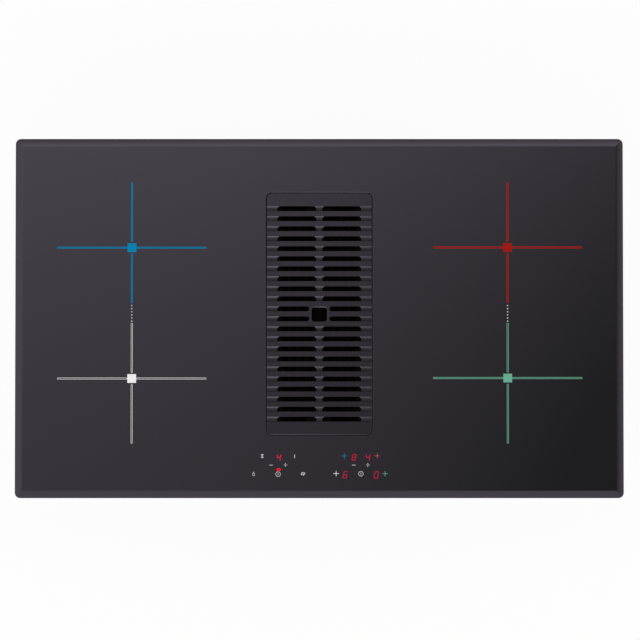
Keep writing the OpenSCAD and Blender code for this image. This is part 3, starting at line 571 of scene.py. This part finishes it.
def disc(centre: Point, radius: float, steps: int = 12) -> list[Point]:
    """Works out a circle's outline."""
    return [polar(centre, radius, 360 * step / steps) for step in range(steps)]


def upright(first: Vector, second: Vector) -> bool:
    """Says whether an edge runs from top to bottom."""
    return abs(first.z - second.z) > 1


def hole_rim(least_z: float, middle_y: float, size: Point, margin: float) -> Test:
    """Makes a test for the upper edge of a hole that is centred on X.

    Args:
        least_z: Least height of that edge.
        middle_y: Y of the hole's middle.
        size: The hole's width and depth.
        margin: How far outside that size the edge may lie.

    Returns:
        The test, which takes an edge's ends.
    """
    across, along = (length / 2 + margin for length in size)
    return lambda *ends: all(
        p.z > least_z and abs(p.x) < across and abs(p.y - middle_y) < along for p in ends)


@dataclass
class GlassTop:
    """The dark glass: four mitred bevels, a rounded rim and the opening for the grille."""

    width: float = 880.0
    depth: float = 520.0
    low: float = 2.0
    high: float = 6.0
    corner: float = 8.0
    steps: tuple[Point, ...] = ((11.3, 2.0), (10.0, 4.2), (8.6, 8.0), (6.6, 11.0), (3.6, 14.5))
    rim: float = 0.45
    opening: Point = (154.0, 351.4)
    opening_y: float = 6.3
    opening_corner: float = 9.0
    opening_edge: float = 0.8
    smooth: float = 11.0
    near: float = 0.01

    def build(self) -> Piece:
        """Models the glass and dresses it.

        Returns:
            The glass.
        """
        half = (self.width / 2, self.depth / 2)
        glass = Bench.block("glass", (-half[0], -half[1], self.low), (*half, self.high))
        opening = stadium((0, self.opening_y), self.opening, self.opening_corner)
        Bench.cut(glass, Bench.plate("cutter", opening, self.low - 1, self.high + 1))
        Bench.round_edges(glass, lambda a, b: upright(a, b) and abs(a.x) > self.opening[0], self.corner,
                          segments=10)
        for turn in range(4):
            self._slope_side(glass, turn)
        with Bench.editing(glass, everything=True):
            bpy.ops.mesh.remove_doubles(threshold=self.near * MM)
            bpy.ops.mesh.normals_make_consistent(inside=False)
        Bench.round_edges(glass, self._on_rim, self.rim, segments=3)
        opening_rim = hole_rim(self.high - self.near, self.opening_y, self.opening, 1.0)
        Bench.round_edges(glass, opening_rim, self.opening_edge)
        Bench.smooth(glass, self.smooth)
        Bench.pick(glass, "EDGE", self._on_crease)
        with Bench.editing(glass):
            bpy.ops.mesh.mark_sharp()
        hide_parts("glass_top")
        return settle(glass, ROOT, GLASS)

    def _slope_side(self, glass: Piece, turn: int) -> None:
        """Slopes one side's edge in a few planes that grow steeper outwards.

        Args:
            glass: The glass.
            turn: Quarter turns from the rear side.
        """
        reach = (self.width if turn % 2 else self.depth) / 2
        spin = Matrix.Rotation(math.radians(90 * turn), 3, "Z")
        height, inset, angle = self.high, self.steps[0][0], 0.0
        for start, degrees in self.steps:
            height -= (inset - start) * math.tan(math.radians(angle))
            inset, angle = start, degrees
            tilt = math.radians(degrees)
            with Bench.editing(glass, everything=True):
                bpy.ops.mesh.bisect(
                    plane_co=spin @ Vector((0, reach - start, height)) * MM,
                    plane_no=spin @ Vector((0, math.sin(tilt), math.cos(tilt))),
                    use_fill=True, clear_outer=True, threshold=0.000001,
                )

    def _on_crease(self, first: Vector, second: Vector) -> bool:
        """Says whether an edge lies on one of the four mitres or bounds the flat top.

        Args:
            first: The edge's one end, in millimetres.
            second: Its other end.

        Returns:
            Whether it does.
        """
        if all(p.z > self.high - self.near / 10 for p in (first, second)):
            return True
        return all(abs(self.width / 2 - abs(p.x) - (self.depth / 2 - abs(p.y))) < 2 * self.near
                   for p in (first, second))

    def _outside(self, point: Vector) -> bool:
        """Says whether a point lies on the glass's outer wall.

        Args:
            point: The point, in millimetres.

        Returns:
            Whether it does.
        """
        dx = abs(point.x) - (self.width / 2 - self.corner)
        dy = abs(point.y) - (self.depth / 2 - self.corner)
        out = math.hypot(dx, dy) if dx > 0 and dy > 0 else max(dx, dy)
        return out > self.corner - 5 * self.near

    def _on_rim(self, first: Vector, second: Vector) -> bool:
        """Says whether an edge runs round the wall, at its top or its foot."""
        return not upright(first, second) and self._outside(first) and self._outside(second)


@dataclass(frozen=True)
class ZoneMark:
    """One zone's cross: its middle, where its arms along Y end, the widths of arm and line, and its inks."""

    centre: Point
    ends: Point
    bar: float
    line: float
    finish: Finish
    lines: Finish


REAR_ENDS: Point = (196.9, 20.7)
FRONT_ENDS: Point = (-181.2, -5.5)
ZONE_MARKS: tuple[ZoneMark, ...] = (
    ZoneMark((-271.1, 102.1), REAR_ENDS, 2.8, 1.3, BLUE_INK, BLUE_LINE_INK),
    ZoneMark((272.4, 102.4), REAR_ENDS, 3.0, 1.2, RED_INK, RED_INK),
    ZoneMark((-271.1, -87.2), FRONT_ENDS, 2.4, 0.52, WHITE_INK, WHITE_INK),
    ZoneMark((272.4, -86.5), FRONT_ENDS, 2.7, 0.8, GREEN_INK, GREEN_INK),
)


@dataclass
class Prints:
    """Everything printed on the glass: zone crosses, dots and control marks."""

    base: float = 5.985
    thick: float = 0.035
    square: float = 12.7
    reach: float = 107.9
    gap: float = 1.9
    slack: float = 0.05
    dot: float = 2.0
    dot_side: float = 271.8
    dot_shift: float = 0.6
    dot_top: float = 18.3
    dot_pitch: float = 4.5
    dot_count: int = 6
    timer_at: Point = (-82.4, -199.1)
    lock_at: Point = (-35.7, -199.4)
    lock: Point = (1.0, 5.2)
    minus_at: tuple[Point, ...] = ((-69.5, -212.2), (49.8, -212.2))
    minus: Point = (5.3, 1.6)
    plus_at: tuple[Point, ...] = ((-48.9, -211.9), (70.1, -211.9))
    plus: tuple[Point, Point] = ((5.2, 1.3), (0.95, 5.3))
    power_at: tuple[Point, ...] = ((-59.5, -225.3), (60.1, -224.7))
    power: Point = (3.75, 0.75)
    power_bar: Point = (0.8, 3.4)
    drop_at: Point = (-94.8, -224.9)
    fan_at: Point = (-23.5, -224.7)
    stars: tuple[tuple[Point, Finish], ...] = (
        ((36.2, -199.0), BLUE_INK), ((83.7, -198.8), ORANGE_INK), ((24.4, -224.4), WHITE_INK),
        ((95.0, -224.6), GREEN_INK),
    )
    star: tuple[Point, ...] = ((4.0, -3.5), (4.0, 3.5), (0.568, 45.0))
    made: dict[Finish, list[Piece]] = field(default_factory=dict)

    def build(self) -> None:
        """Prints the zones and the controls, one piece for each ink."""
        for mark in ZONE_MARKS:
            self._cross(mark)
        self._dots()
        for spot, colour in self.stars:
            self._star(spot, colour)
        self._controls()
        for finish, parts in self.made.items():
            settle(Bench.join(f"print_{finish.name.removeprefix('ink_')}", parts), ROOT, finish)

    def _keep(self, piece: Piece, finish: Finish) -> None:
        """Raises a flat mark to its thickness and files it under its ink."""
        Bench.extrude(piece, (0, 0, self.thick))
        self.made.setdefault(finish, []).append(piece)

    def _solid(self, points: Sequence[Point], finish: Finish) -> None:
        """Prints a filled mark."""
        self._keep(Bench.outline("mark", points, self.base), finish)

    def _bar(self, centre: Point, size: Point, finish: Finish, corner: float = 0.3, steps: int = 2) -> None:
        """Prints a filled bar with small round corners."""
        self._solid(stadium(centre, size, corner, steps), finish)

    def _ring(self, points: Sequence[Point], line: float, finish: Finish,
              open_beyond: Test | None = None) -> None:
        """Prints a mark as an outline.

        Args:
            points: Outer edge of the mark.
            line: Width of the line.
            finish: The ink.
            open_beyond: Says which stretches are left out, by their middle, for an outline with an open end.
        """
        piece = Bench.outline("mark", points, self.base)
        with Bench.editing(piece, everything=True):
            bpy.ops.mesh.inset(thickness=line * MM, depth=0)
            bpy.ops.mesh.delete(type="FACE")
        if open_beyond:
            Bench.pick(piece, "FACE", open_beyond)
            with Bench.editing(piece):
                bpy.ops.mesh.delete(type="FACE")
        self._keep(piece, finish)

    def _cross(self, mark: ZoneMark) -> None:
        """Prints one zone's cross: a solid square and four outlined arms, the inner one with an open end.

        Args:
            mark: The zone's cross.
        """
        x, y = mark.centre
        half = self.square / 2
        self._bar((x, y), (self.square, self.square), mark.finish, corner=0.4)
        arm = self.reach - half
        round_end = mark.bar / 2 - self.slack
        for way in (-1, 1):
            shape = stadium((x + way * (half + arm / 2), y), (arm, mark.bar), round_end)
            self._ring(shape, mark.line, mark.lines)
        for end, is_inner in zip(mark.ends, (False, True)):
            way = math.copysign(1, end - y)
            start = y + way * (half + self.gap)
            shape = stadium((x, (start + end) / 2), (mark.bar, abs(end - start)), round_end)
            beyond = (lambda p, e=end: abs(p.y - e) < mark.bar / 2) if is_inner else None
            self._ring(shape, mark.line, mark.lines, beyond)

    def _dots(self) -> None:
        """Prints the column of dots between the front and rear zones, on both sides."""
        for side in (-1, 1):
            for dot in range(self.dot_count):
                spot = (side * self.dot_side + self.dot_shift, self.dot_top - dot * self.dot_pitch)
                self._solid(disc(spot, self.dot / 2), GREY_INK)

    def _star(self, centre: Point, finish: Finish) -> None:
        """Prints a small four-pointed mark that names a zone by its colour.

        Args:
            centre: Its middle.
            finish: The zone's ink.
        """
        shape = [polar(centre, out, 90 * quarter + turn) for quarter in range(4) for out, turn in self.star]
        self._solid(shape, finish)

    def _controls(self) -> None:
        """Prints the marks of the two control groups."""
        self._hourglass(self.timer_at)
        self._bar(self.lock_at, self.lock, GREY_INK, corner=0.2)
        for centre in self.minus_at:
            self._bar(centre, self.minus, DIM_INK)
        for centre in self.plus_at:
            for size, finish in zip(self.plus, (DIM_INK, GREY_INK)):
                self._bar(centre, size, finish)
        radius, line = self.power
        for centre in self.power_at:
            self._ring(disc(centre, radius, steps=32), line, GREY_INK)
            self._bar(centre, self.power_bar, GREY_INK)
        self._drop(self.drop_at)
        self._fan(self.fan_at)

    def _hourglass(self, centre: Point) -> None:
        """Prints the timer mark: two triangles between two bars.

        Args:
            centre: Its middle.
        """
        x, y = centre
        left = ((-2.1, 2.6), (-1.9, 1.9), (-0.3, 0.0), (-1.9, -1.9), (-2.1, -2.6))
        shape = (*left, *((-across, along) for across, along in reversed(left)))
        self._solid([(x + across, y + along) for across, along in shape], GREY_INK)

    def _drop(self, centre: Point) -> None:
        """Prints the drop mark as an outline.

        Args:
            centre: Its middle.
        """
        x, y = centre
        radius, below, tip, tip_y, line = 1.9, 1.1, 0.4, 3.1, 0.7
        round_part = [polar((x, y - below), radius, angle) for angle in range(150, 391, 20)]
        self._ring([*round_part, (x + tip, y + tip_y), (x - tip, y + tip_y)], line, GREY_INK)

    def _fan(self, centre: Point) -> None:
        """Prints the extractor mark: four round blades about a hub.

        Args:
            centre: Its middle.
        """
        hub, blade, wide, deep, turn = 1.1, 1.3, 2.0, 1.4, 25
        self._solid(disc(centre, hub), GREY_INK)
        for quarter in range(4):
            across, along = polar((0.0, 0.0), 1.0, 90 * quarter + turn)
            self._solid(disc((centre[0] + wide * across, centre[1] + deep * along), blade), GREY_INK)


@dataclass(frozen=True)
class Digit:
    """A lit digit: what it shows, its middle, its height and the width of a segment."""

    text: str
    centre: Point
    tall: float
    stroke: float


@dataclass
class Displays:
    """The lit digits and the lit bar that show through the glass."""

    base: float = 5.99
    thick: float = 0.035
    lean: float = 0.17
    narrow: float = 0.56
    segment_gap: float = 0.15
    timer: Digit = Digit("4", (-58.6, -201.3), 10.5, 1.4)
    zones: tuple[Digit, ...] = (
        Digit("8", (50.2, -201.2), 9.4, 0.85), Digit("4", (70.2, -201.3), 10.2, 0.9),
        Digit("6", (37.6, -226.2), 10.2, 0.85), Digit("0", (82.3, -226.3), 10.2, 0.85),
    )
    bar_at: Point = (-58.6, -218.7)
    bar: Point = (5.9, 3.4)
    bar_corner: float = 1.4
    segments: dict[str, tuple[Point, bool]] = field(default_factory=lambda: {
        "top": ((0, 1), True), "middle": ((0, 0), True), "bottom": ((0, -1), True),
        "upper_left": ((-1, 0.5), False), "upper_right": ((1, 0.5), False),
        "lower_left": ((-1, -0.5), False), "lower_right": ((1, -0.5), False),
    })
    unlit: dict[str, tuple[str, ...]] = field(default_factory=lambda: {
        "0": ("middle",), "4": ("top", "bottom", "lower_left"), "6": ("upper_right",), "8": (),
    })

    def build(self) -> None:
        """Lights the digits and the bar."""
        settle(Bench.join("timer_digit", self._digit(self.timer)), ROOT, DIGIT_LIGHT)
        parts = [part for digit in self.zones for part in self._digit(digit)]
        settle(Bench.join("zone_digits", parts), ROOT, DIM_DIGIT_LIGHT)
        bar = self._lit("lit_bar", stadium(self.bar_at, self.bar, self.bar_corner, steps=4))
        settle(bar, ROOT, LAMP_LIGHT)

    def _lit(self, name: str, points: Sequence[Point]) -> Piece:
        """Makes one lit mark from its outline."""
        return Bench.plate(name, points, self.base, self.base + self.thick)

    def _digit(self, digit: Digit) -> list[Piece]:
        """Makes the lit segments of one digit.

        Args:
            digit: The digit.

        Returns:
            The segments.
        """
        half_high = (digit.tall - digit.stroke) / 2
        half_wide = half_high * self.narrow
        point = digit.stroke / 2
        parts = []
        for name, (place, lies) in self.segments.items():
            if name in self.unlit[digit.text]:
                continue
            half = (half_wide if lies else half_high / 2) - self.segment_gap
            shape = [(half, 0), (half - point, point), (point - half, point),
                     (-half, 0), (point - half, -point), (half - point, -point)]
            if not lies:
                shape = [(-y, x) for x, y in shape]
            middle = (place[0] * half_wide, place[1] * half_high)
            leaned = [(digit.centre[0] + middle[0] + x + self.lean * (middle[1] + y),
                       digit.centre[1] + middle[1] + y) for x, y in shape]
            parts.append(self._lit("segment", leaned))
        return parts


@dataclass
class CoverGrille:
    """The lift-off grille: rows of through slots, each in a channel that slopes down towards the front."""

    width: float = 152.0
    depth: float = 350.0
    middle_y: float = 6.3
    low: float = 1.5
    high: float = 7.0
    corner: float = 8.0
    edge: float = 1.0
    rows: int = 22
    pitch: float = 14.5
    channel: float = 7.1
    channel_depth: float = 1.5
    slopes: tuple[Point, ...] = ((1.5, 23.0), (1.6, 14.0), (3.2, 2.2))
    slot_x: float = 32.5
    slot_front: float = 56.4
    slot_rear: float = 50.2
    slot_lip: float = 0.35
    short_start: float = 14.8
    finger: Point = (21.8, 19.8)
    finger_shift: float = -1.0
    finger_corner: float = 3.5
    finger_edge: float = 1.6
    smooth: float = 6.0
    near: float = 0.01

    def build(self) -> Piece:
        """Models the grille and coats it.

        Returns:
            The grille.
        """
        half = (self.width / 2, self.depth / 2)
        grille = Bench.block("grille", (-half[0], self.middle_y - half[1], self.low),
                             (half[0], self.middle_y + half[1], self.high))
        Bench.round_edges(grille, upright, self.corner, segments=16)
        Bench.round_edges(grille, lambda a, b: min(a.z, b.z) > self.high - self.near, self.edge)
        Bench.cut(grille, self._channels())
        Bench.cut(grille, self._slots())
        finger_rim = hole_rim(self.high - self.near, self.middle_y + self.finger_shift, self.finger, 0.1)
        Bench.round_edges(grille, finger_rim, self.finger_edge)
        Bench.smooth(grille, self.smooth)
        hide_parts("cover_grille")
        return settle(grille, "grille_unit", GRILLE_COAT)

    def _row_y(self, row: int) -> float:
        """Works out a row's middle."""
        return self.middle_y + (row - (self.rows - 1) / 2) * self.pitch

    def _short(self, row: int) -> bool:
        """Says whether a row stops beside the finger hole."""
        return row in (self.rows // 2 - 1, self.rows // 2)

    def _channels(self) -> Piece:
        """Makes the cutter of all channels, each with a few slopes from the rear down to a steep front wall.

        Returns:
            The cutter.
        """
        half = self.channel / 2
        y, z = half, self.high
        profile = [(-half, self.high + 2), (half, self.high + 2), (y, z)]
        for length, slope in self.slopes:
            y, z = y - length, z - length * math.tan(math.radians(slope))
            profile.append((y, z))
        profile.append((-half, self.high))
        reach = self.width / 2 + 1
        cutters = []
        for row in range(self.rows):
            spans = [(-reach, reach)]
            if self._short(row):
                spans = [(-reach, -self.slot_x), (self.slot_x, reach)]
            for start, end in spans:
                face = Bench.face("channel", [(start, self._row_y(row) + y, z) for y, z in profile])
                cutters.append(Bench.extrude(face, (end - start, 0, 0)))
        return Bench.join("channels", cutters)

    def _end(self, tip: float) -> list[Point]:
        """Works out a slot's right end, from front to rear: small corner, straight, then a slanted corner.

        Args:
            tip: X of the end.

        Returns:
            The points of the end, about the row's middle.
        """
        half, small = self.channel / 2, 1.0
        slant = (self.slot_front - self.slot_rear) / 2
        front = [polar((tip - small, -half + small), small, angle) for angle in (-90, -60, -30, 0)]
        rear = [(tip, 0.1), (tip - 0.3, 0.7), (tip - slant + 0.5, half - 0.35), (tip - slant - 0.4, half)]
        return [*front, *rear]

    def _slots(self) -> Piece:
        """Makes the cutter of all slots and the finger hole.

        Returns:
            The cutter.
        """
        far = self.slot_x + self.slot_front / 2
        near = self.slot_x - self.slot_front / 2
        half = self.channel / 2
        right = self._end(far)
        left = [(near + far - x, y) for x, y in reversed(right)]
        round_end = [polar((self.short_start + half, 0.0), half, angle) for angle in range(90, 271, 15)]
        cutters = []
        for row in range(self.rows):
            shape = [*right, *(round_end if self._short(row) else left)]
            for side in (-1, 1):
                points = [(side * x, self._row_y(row) + y) for x, y in shape]
                cutters.append(self._flared(points, side * self.slot_x))
        hole = stadium((0, self.middle_y + self.finger_shift), self.finger, self.finger_corner, steps=5)
        cutters.append(Bench.plate("finger", hole, self.low - 1, self.high + 1))
        return Bench.join("slots", cutters)

    def _flared(self, points: Sequence[Point], middle: float) -> Piece:
        """Makes a slot's cutter, a little longer at the top, which leaves a lip at both ends.

        Args:
            points: The slot's outline.
            middle: X of its middle.

        Returns:
            The cutter.
        """
        floor = self.high - self.channel_depth
        heights = (self.low - 1, floor - self.slot_lip, floor, self.high + 1)
        piece = Bench.outline("slot", points, heights[0])
        reach = 1 + self.slot_lip / (self.slot_front / 2)
        with Bench.editing(piece, everything=True):
            for low, high, wide in zip(heights, heights[1:], (1.0, reach, 1.0)):
                bpy.ops.mesh.extrude_region_move(TRANSFORM_OT_translate={"value": (0, 0, (high - low) * MM)})
                bpy.ops.transform.resize(value=(wide, 1, 1), center_override=(middle * MM, 0, 0))
            bpy.ops.mesh.select_all(action="SELECT")
            bpy.ops.mesh.normals_make_consistent(inside=False)
        return piece


# filter_metal and drip_metal take the near-black painted shade finishes, which stand in for the shade inside
# the slots.
SLOT_FINISH: dict[str, Finish] = {
    "glass": GLASS, "foam_seal": FOAM, "silicone": SILICONE, "grille_metal": GRILLE_COAT,
    "pad_rubber": RUBBER, "filter_metal": FILTER_FRAME_PAINTED_SHADE, "drip_metal": DRIP_TRAY_PAINTED_SHADE, "tray_steel": ZINC_SHEET,
    "well_plastic": WELL_PLASTIC, "blower_plastic": MOULDED, "impeller_plastic": IMPELLER_PLASTIC,
    "motor_metal": CAST_METAL, "copper": COPPER_WIRE, "core_steel": CORE_STEEL, "shaft_steel": BRIGHT_STEEL,
    "flap_plastic": FLAP_PLASTIC, "carrier_plastic": PALE_PLASTIC, "ferrite": FERRITE,
    "sensor_ceramic": CERAMIC, "shield_aluminium": SHIELD_SHEET, "board_laminate": LAMINATE,
    "heatsink_aluminium": SINK_METAL, "fan_plastic": FAN_PLASTIC, "display_red": TINTED,
    "terminal_plastic": MOULDED, "block_plastic": PALE_PLASTIC, "clamp_steel": CLAMP_STEEL,
    "screw_steel": ZINC_SCREW,
}


@dataclass
class Shells:
    """Outer shells, with their edges rounded as moulding leaves them, each by its own width."""

    rounded: dict[str, float] = field(default_factory=lambda: {
        "plenum_box": 0.8, "blower_upper_shell": 0.8, "blower_lower_shell": 0.8, "outlet_spigot": 0.6,
    })

    def build(self) -> None:
        """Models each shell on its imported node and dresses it."""
        record = frame["record"]
        slot_of = {part["node"]: part["material_slot"] for part in record["subparts"]}
        body_of = {node: body for body, nodes in record["behaviour"]["bodies"].items() for node in nodes}
        for node, width in self.rounded.items():
            shell = Bench.copy_node(node, f"{node}_shell", width)
            settle(shell, body_of[node], SLOT_FINISH[slot_of[node]])


def dress_nodes(smooth: float = 30.0) -> None:
    """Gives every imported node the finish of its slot.

    Args:
        smooth: Angle in degrees up to which edges are shaded smooth.
    """
    for part in frame["record"]["subparts"]:
        node = frame["nodes"][part["node"]]
        node.data.materials.clear()
        # The filter mesh gets its near-black painted shade colour here.
        finish = FILTER_MESH_PAINTED_SHADE if part["node"].startswith("filter_mesh") else SLOT_FINISH[part["material_slot"]]
        node.data.materials.append(finish.build())
        Bench.smooth(node, smooth)
        LOG.info("%s is dressed with %s", part["node"], part["material_slot"])


@dataclass
class Studio:
    """Floor, surrounding light, lamp and camera."""

    floor_z: float = -206.0
    floor_size: float = 12000.0
    floor_share: float = 0.93
    camera_distance: float = 3200.0
    camera_tilt: float = 1.3
    frame_width: float = 925.6
    aim: tuple[float, float, float] = (1.05, -2.6, 6.0)
    sensor: float = 36.0
    key_power: float = 13.2
    key_place: tuple[float, float, float] = (-0.75, -3.32, 3.58)
    key_size: Point = (1.8, 1.0)
    sky: float = 0.86
    left_sky: float = 1.0
    top_sky: float = 1.45
    front_sky: float = 0.86
    rear_sky: float = 0.62
    darkest: float = 0.05
    ramp_level: float = 0.45
    ramp_across: float = -2.15
    bend: float = -6.0
    bend_limit: float = 0.016
    ramp_along: Point = (2.55, 11.5)
    right_start: float = 0.14
    right_slope: float = 1.75
    top_span: Point = (-0.3, -0.15)
    front_span: Point = (-0.078, -0.17)
    rear_span: Point = (0.26, 0.62)
    low_span: Point = (0.55, 0.1)

    def build(self) -> None:
        """Sets up the whole studio."""
        self._floor()
        self._surround()
        self._key_lamp()
        self._camera()

    def _floor(self) -> None:
        """Lays a plain white floor under the object; it takes shadows and is open from below."""
        Bench.clear()
        bpy.ops.mesh.primitive_plane_add(size=self.floor_size * MM, location=(0, 0, self.floor_z * MM))
        floor = Bench.name("floor")
        material = Finish("floor_white", (0.94, 0.94, 0.94), (0.96, 0.96, 0.96), 3.0, (0.9, 0.95)).build()
        graph, nodes = Graph(material.node_tree), material.node_tree.nodes
        rays = graph.add("LightPath", {}, "Is Camera Ray")
        for kind in ("Is Glossy Ray", "Is Transmission Ray"):
            rays = graph.sum("MAXIMUM", rays, graph.add("LightPath", {}, kind))
        share = graph.sum("MULTIPLY", rays, self.floor_share)
        lit = graph.add("MixShader", {0: share, 1: nodes["Principled BSDF"].outputs["BSDF"],
                                      2: graph.add("Emission", {})})
        side = graph.add("MixShader", {0: graph.add("NewGeometry", {}, "Backfacing"), 1: lit,
                                       2: graph.add("BsdfTransparent", {})})
        graph.feed(nodes["Material Output"], {"Surface": side})
        floor.data.materials.append(material)

    @staticmethod
    def _step(graph: Graph, value: Socket, span: Point, low: Value, high: Value) -> Socket:
        """Eases from one strength to another as a value crosses a span.

        Args:
            graph: The world's nodes.
            value: The value.
            span: Where the easing starts and ends.
            low: Strength before the span.
            high: Strength after the span.

        Returns:
            The eased strength's socket.
        """
        inputs = {"Value": value, "From Min": span[0], "From Max": span[1], "To Min": low, "To Max": high}
        return graph.add("MapRange", inputs, interpolation_type="SMOOTHSTEP")

    def _surround(self) -> None:
        """Surrounds the object with soft white light, which falls off overhead towards the front right."""
        world = bpy.data.worlds.new("surround")
        bpy.context.scene.world = world
        world.use_nodes = True
        graph = Graph(world.node_tree)
        direction = {"Vector": graph.add("TexCoord", {}, "Generated")}
        across, along, up = (graph.add("SeparateXYZ", direction, axis) for axis in "XYZ")
        square = graph.sum("MINIMUM", graph.sum("MULTIPLY", across, across), self.bend_limit)
        strength = graph.sum("ADD", graph.sum("MULTIPLY", across, self.ramp_across),
                             graph.sum("MULTIPLY", square, self.bend))
        rise = graph.sum("ADD", graph.sum("MULTIPLY", along, self.ramp_along[1]), self.ramp_along[0])
        strength = graph.sum("ADD", strength, graph.sum("MULTIPLY", along, rise))
        strength = graph.sum("ADD", strength, self.ramp_level)
        overhead = self._step(graph, across, self.top_span, self.left_sky, self.top_sky)
        strength = graph.sum("MAXIMUM", graph.sum("MINIMUM", strength, overhead), self.darkest)
        right = graph.sum("MULTIPLY", graph.sum("SUBTRACT", across, self.right_start), self.right_slope)
        strength = graph.sum("MAXIMUM", strength, graph.sum("MINIMUM", right, self.sky))
        strength = self._step(graph, along, self.front_span, strength, self.front_sky)
        strength = self._step(graph, along, self.rear_span, strength, self.rear_sky)
        strength = self._step(graph, up, self.low_span, strength, self.sky)
        graph.feed(world.node_tree.nodes["Background"],
                   {"Strength": strength, "Color": (1.0, 0.99, 1.0, 1.0)})

    def _key_lamp(self) -> None:
        """Hangs one broad lamp in front, a little to the left."""
        light = bpy.data.lights.new("key", "AREA")
        light.shape = "RECTANGLE"
        light.size, light.size_y = self.key_size
        light.energy = self.key_power
        lamp = bpy.data.objects.new("key", light)
        bpy.context.scene.collection.objects.link(lamp)
        place = Vector(self.key_place)
        lamp.location = place
        lamp.rotation_euler = (-place).to_track_quat("-Z", "Y").to_euler()

    def _camera(self) -> None:
        """Hangs the camera over the object, a little towards the front."""
        lens = bpy.data.cameras.new("camera")
        lens.sensor_width = self.sensor
        lens.lens = self.sensor * self.camera_distance / self.frame_width
        lens.clip_end = 100.0
        camera = bpy.data.objects.new("camera", lens)
        bpy.context.scene.collection.objects.link(camera)
        tilt = math.radians(self.camera_tilt)
        back = Vector((0.0, -math.sin(tilt), math.cos(tilt)))
        target = Vector(self.aim) * MM
        camera.location = target + back * self.camera_distance * MM
        camera.rotation_euler = (-back).to_track_quat("-Z", "Y").to_euler()
        bpy.context.scene.camera = camera
        bpy.context.scene.view_settings.view_transform = "Standard"


def main() -> None:
    """Builds the object's looks in order."""
    logging.basicConfig(level=logging.INFO, format="%(name)s: %(message)s")
    Studio().build()
    dress_nodes()
    for part in (GlassTop(), CoverGrille(), Prints(), Displays(), Shells()):
        part.build()
    Bench.clear()


if __name__ == "__main__":
    main()
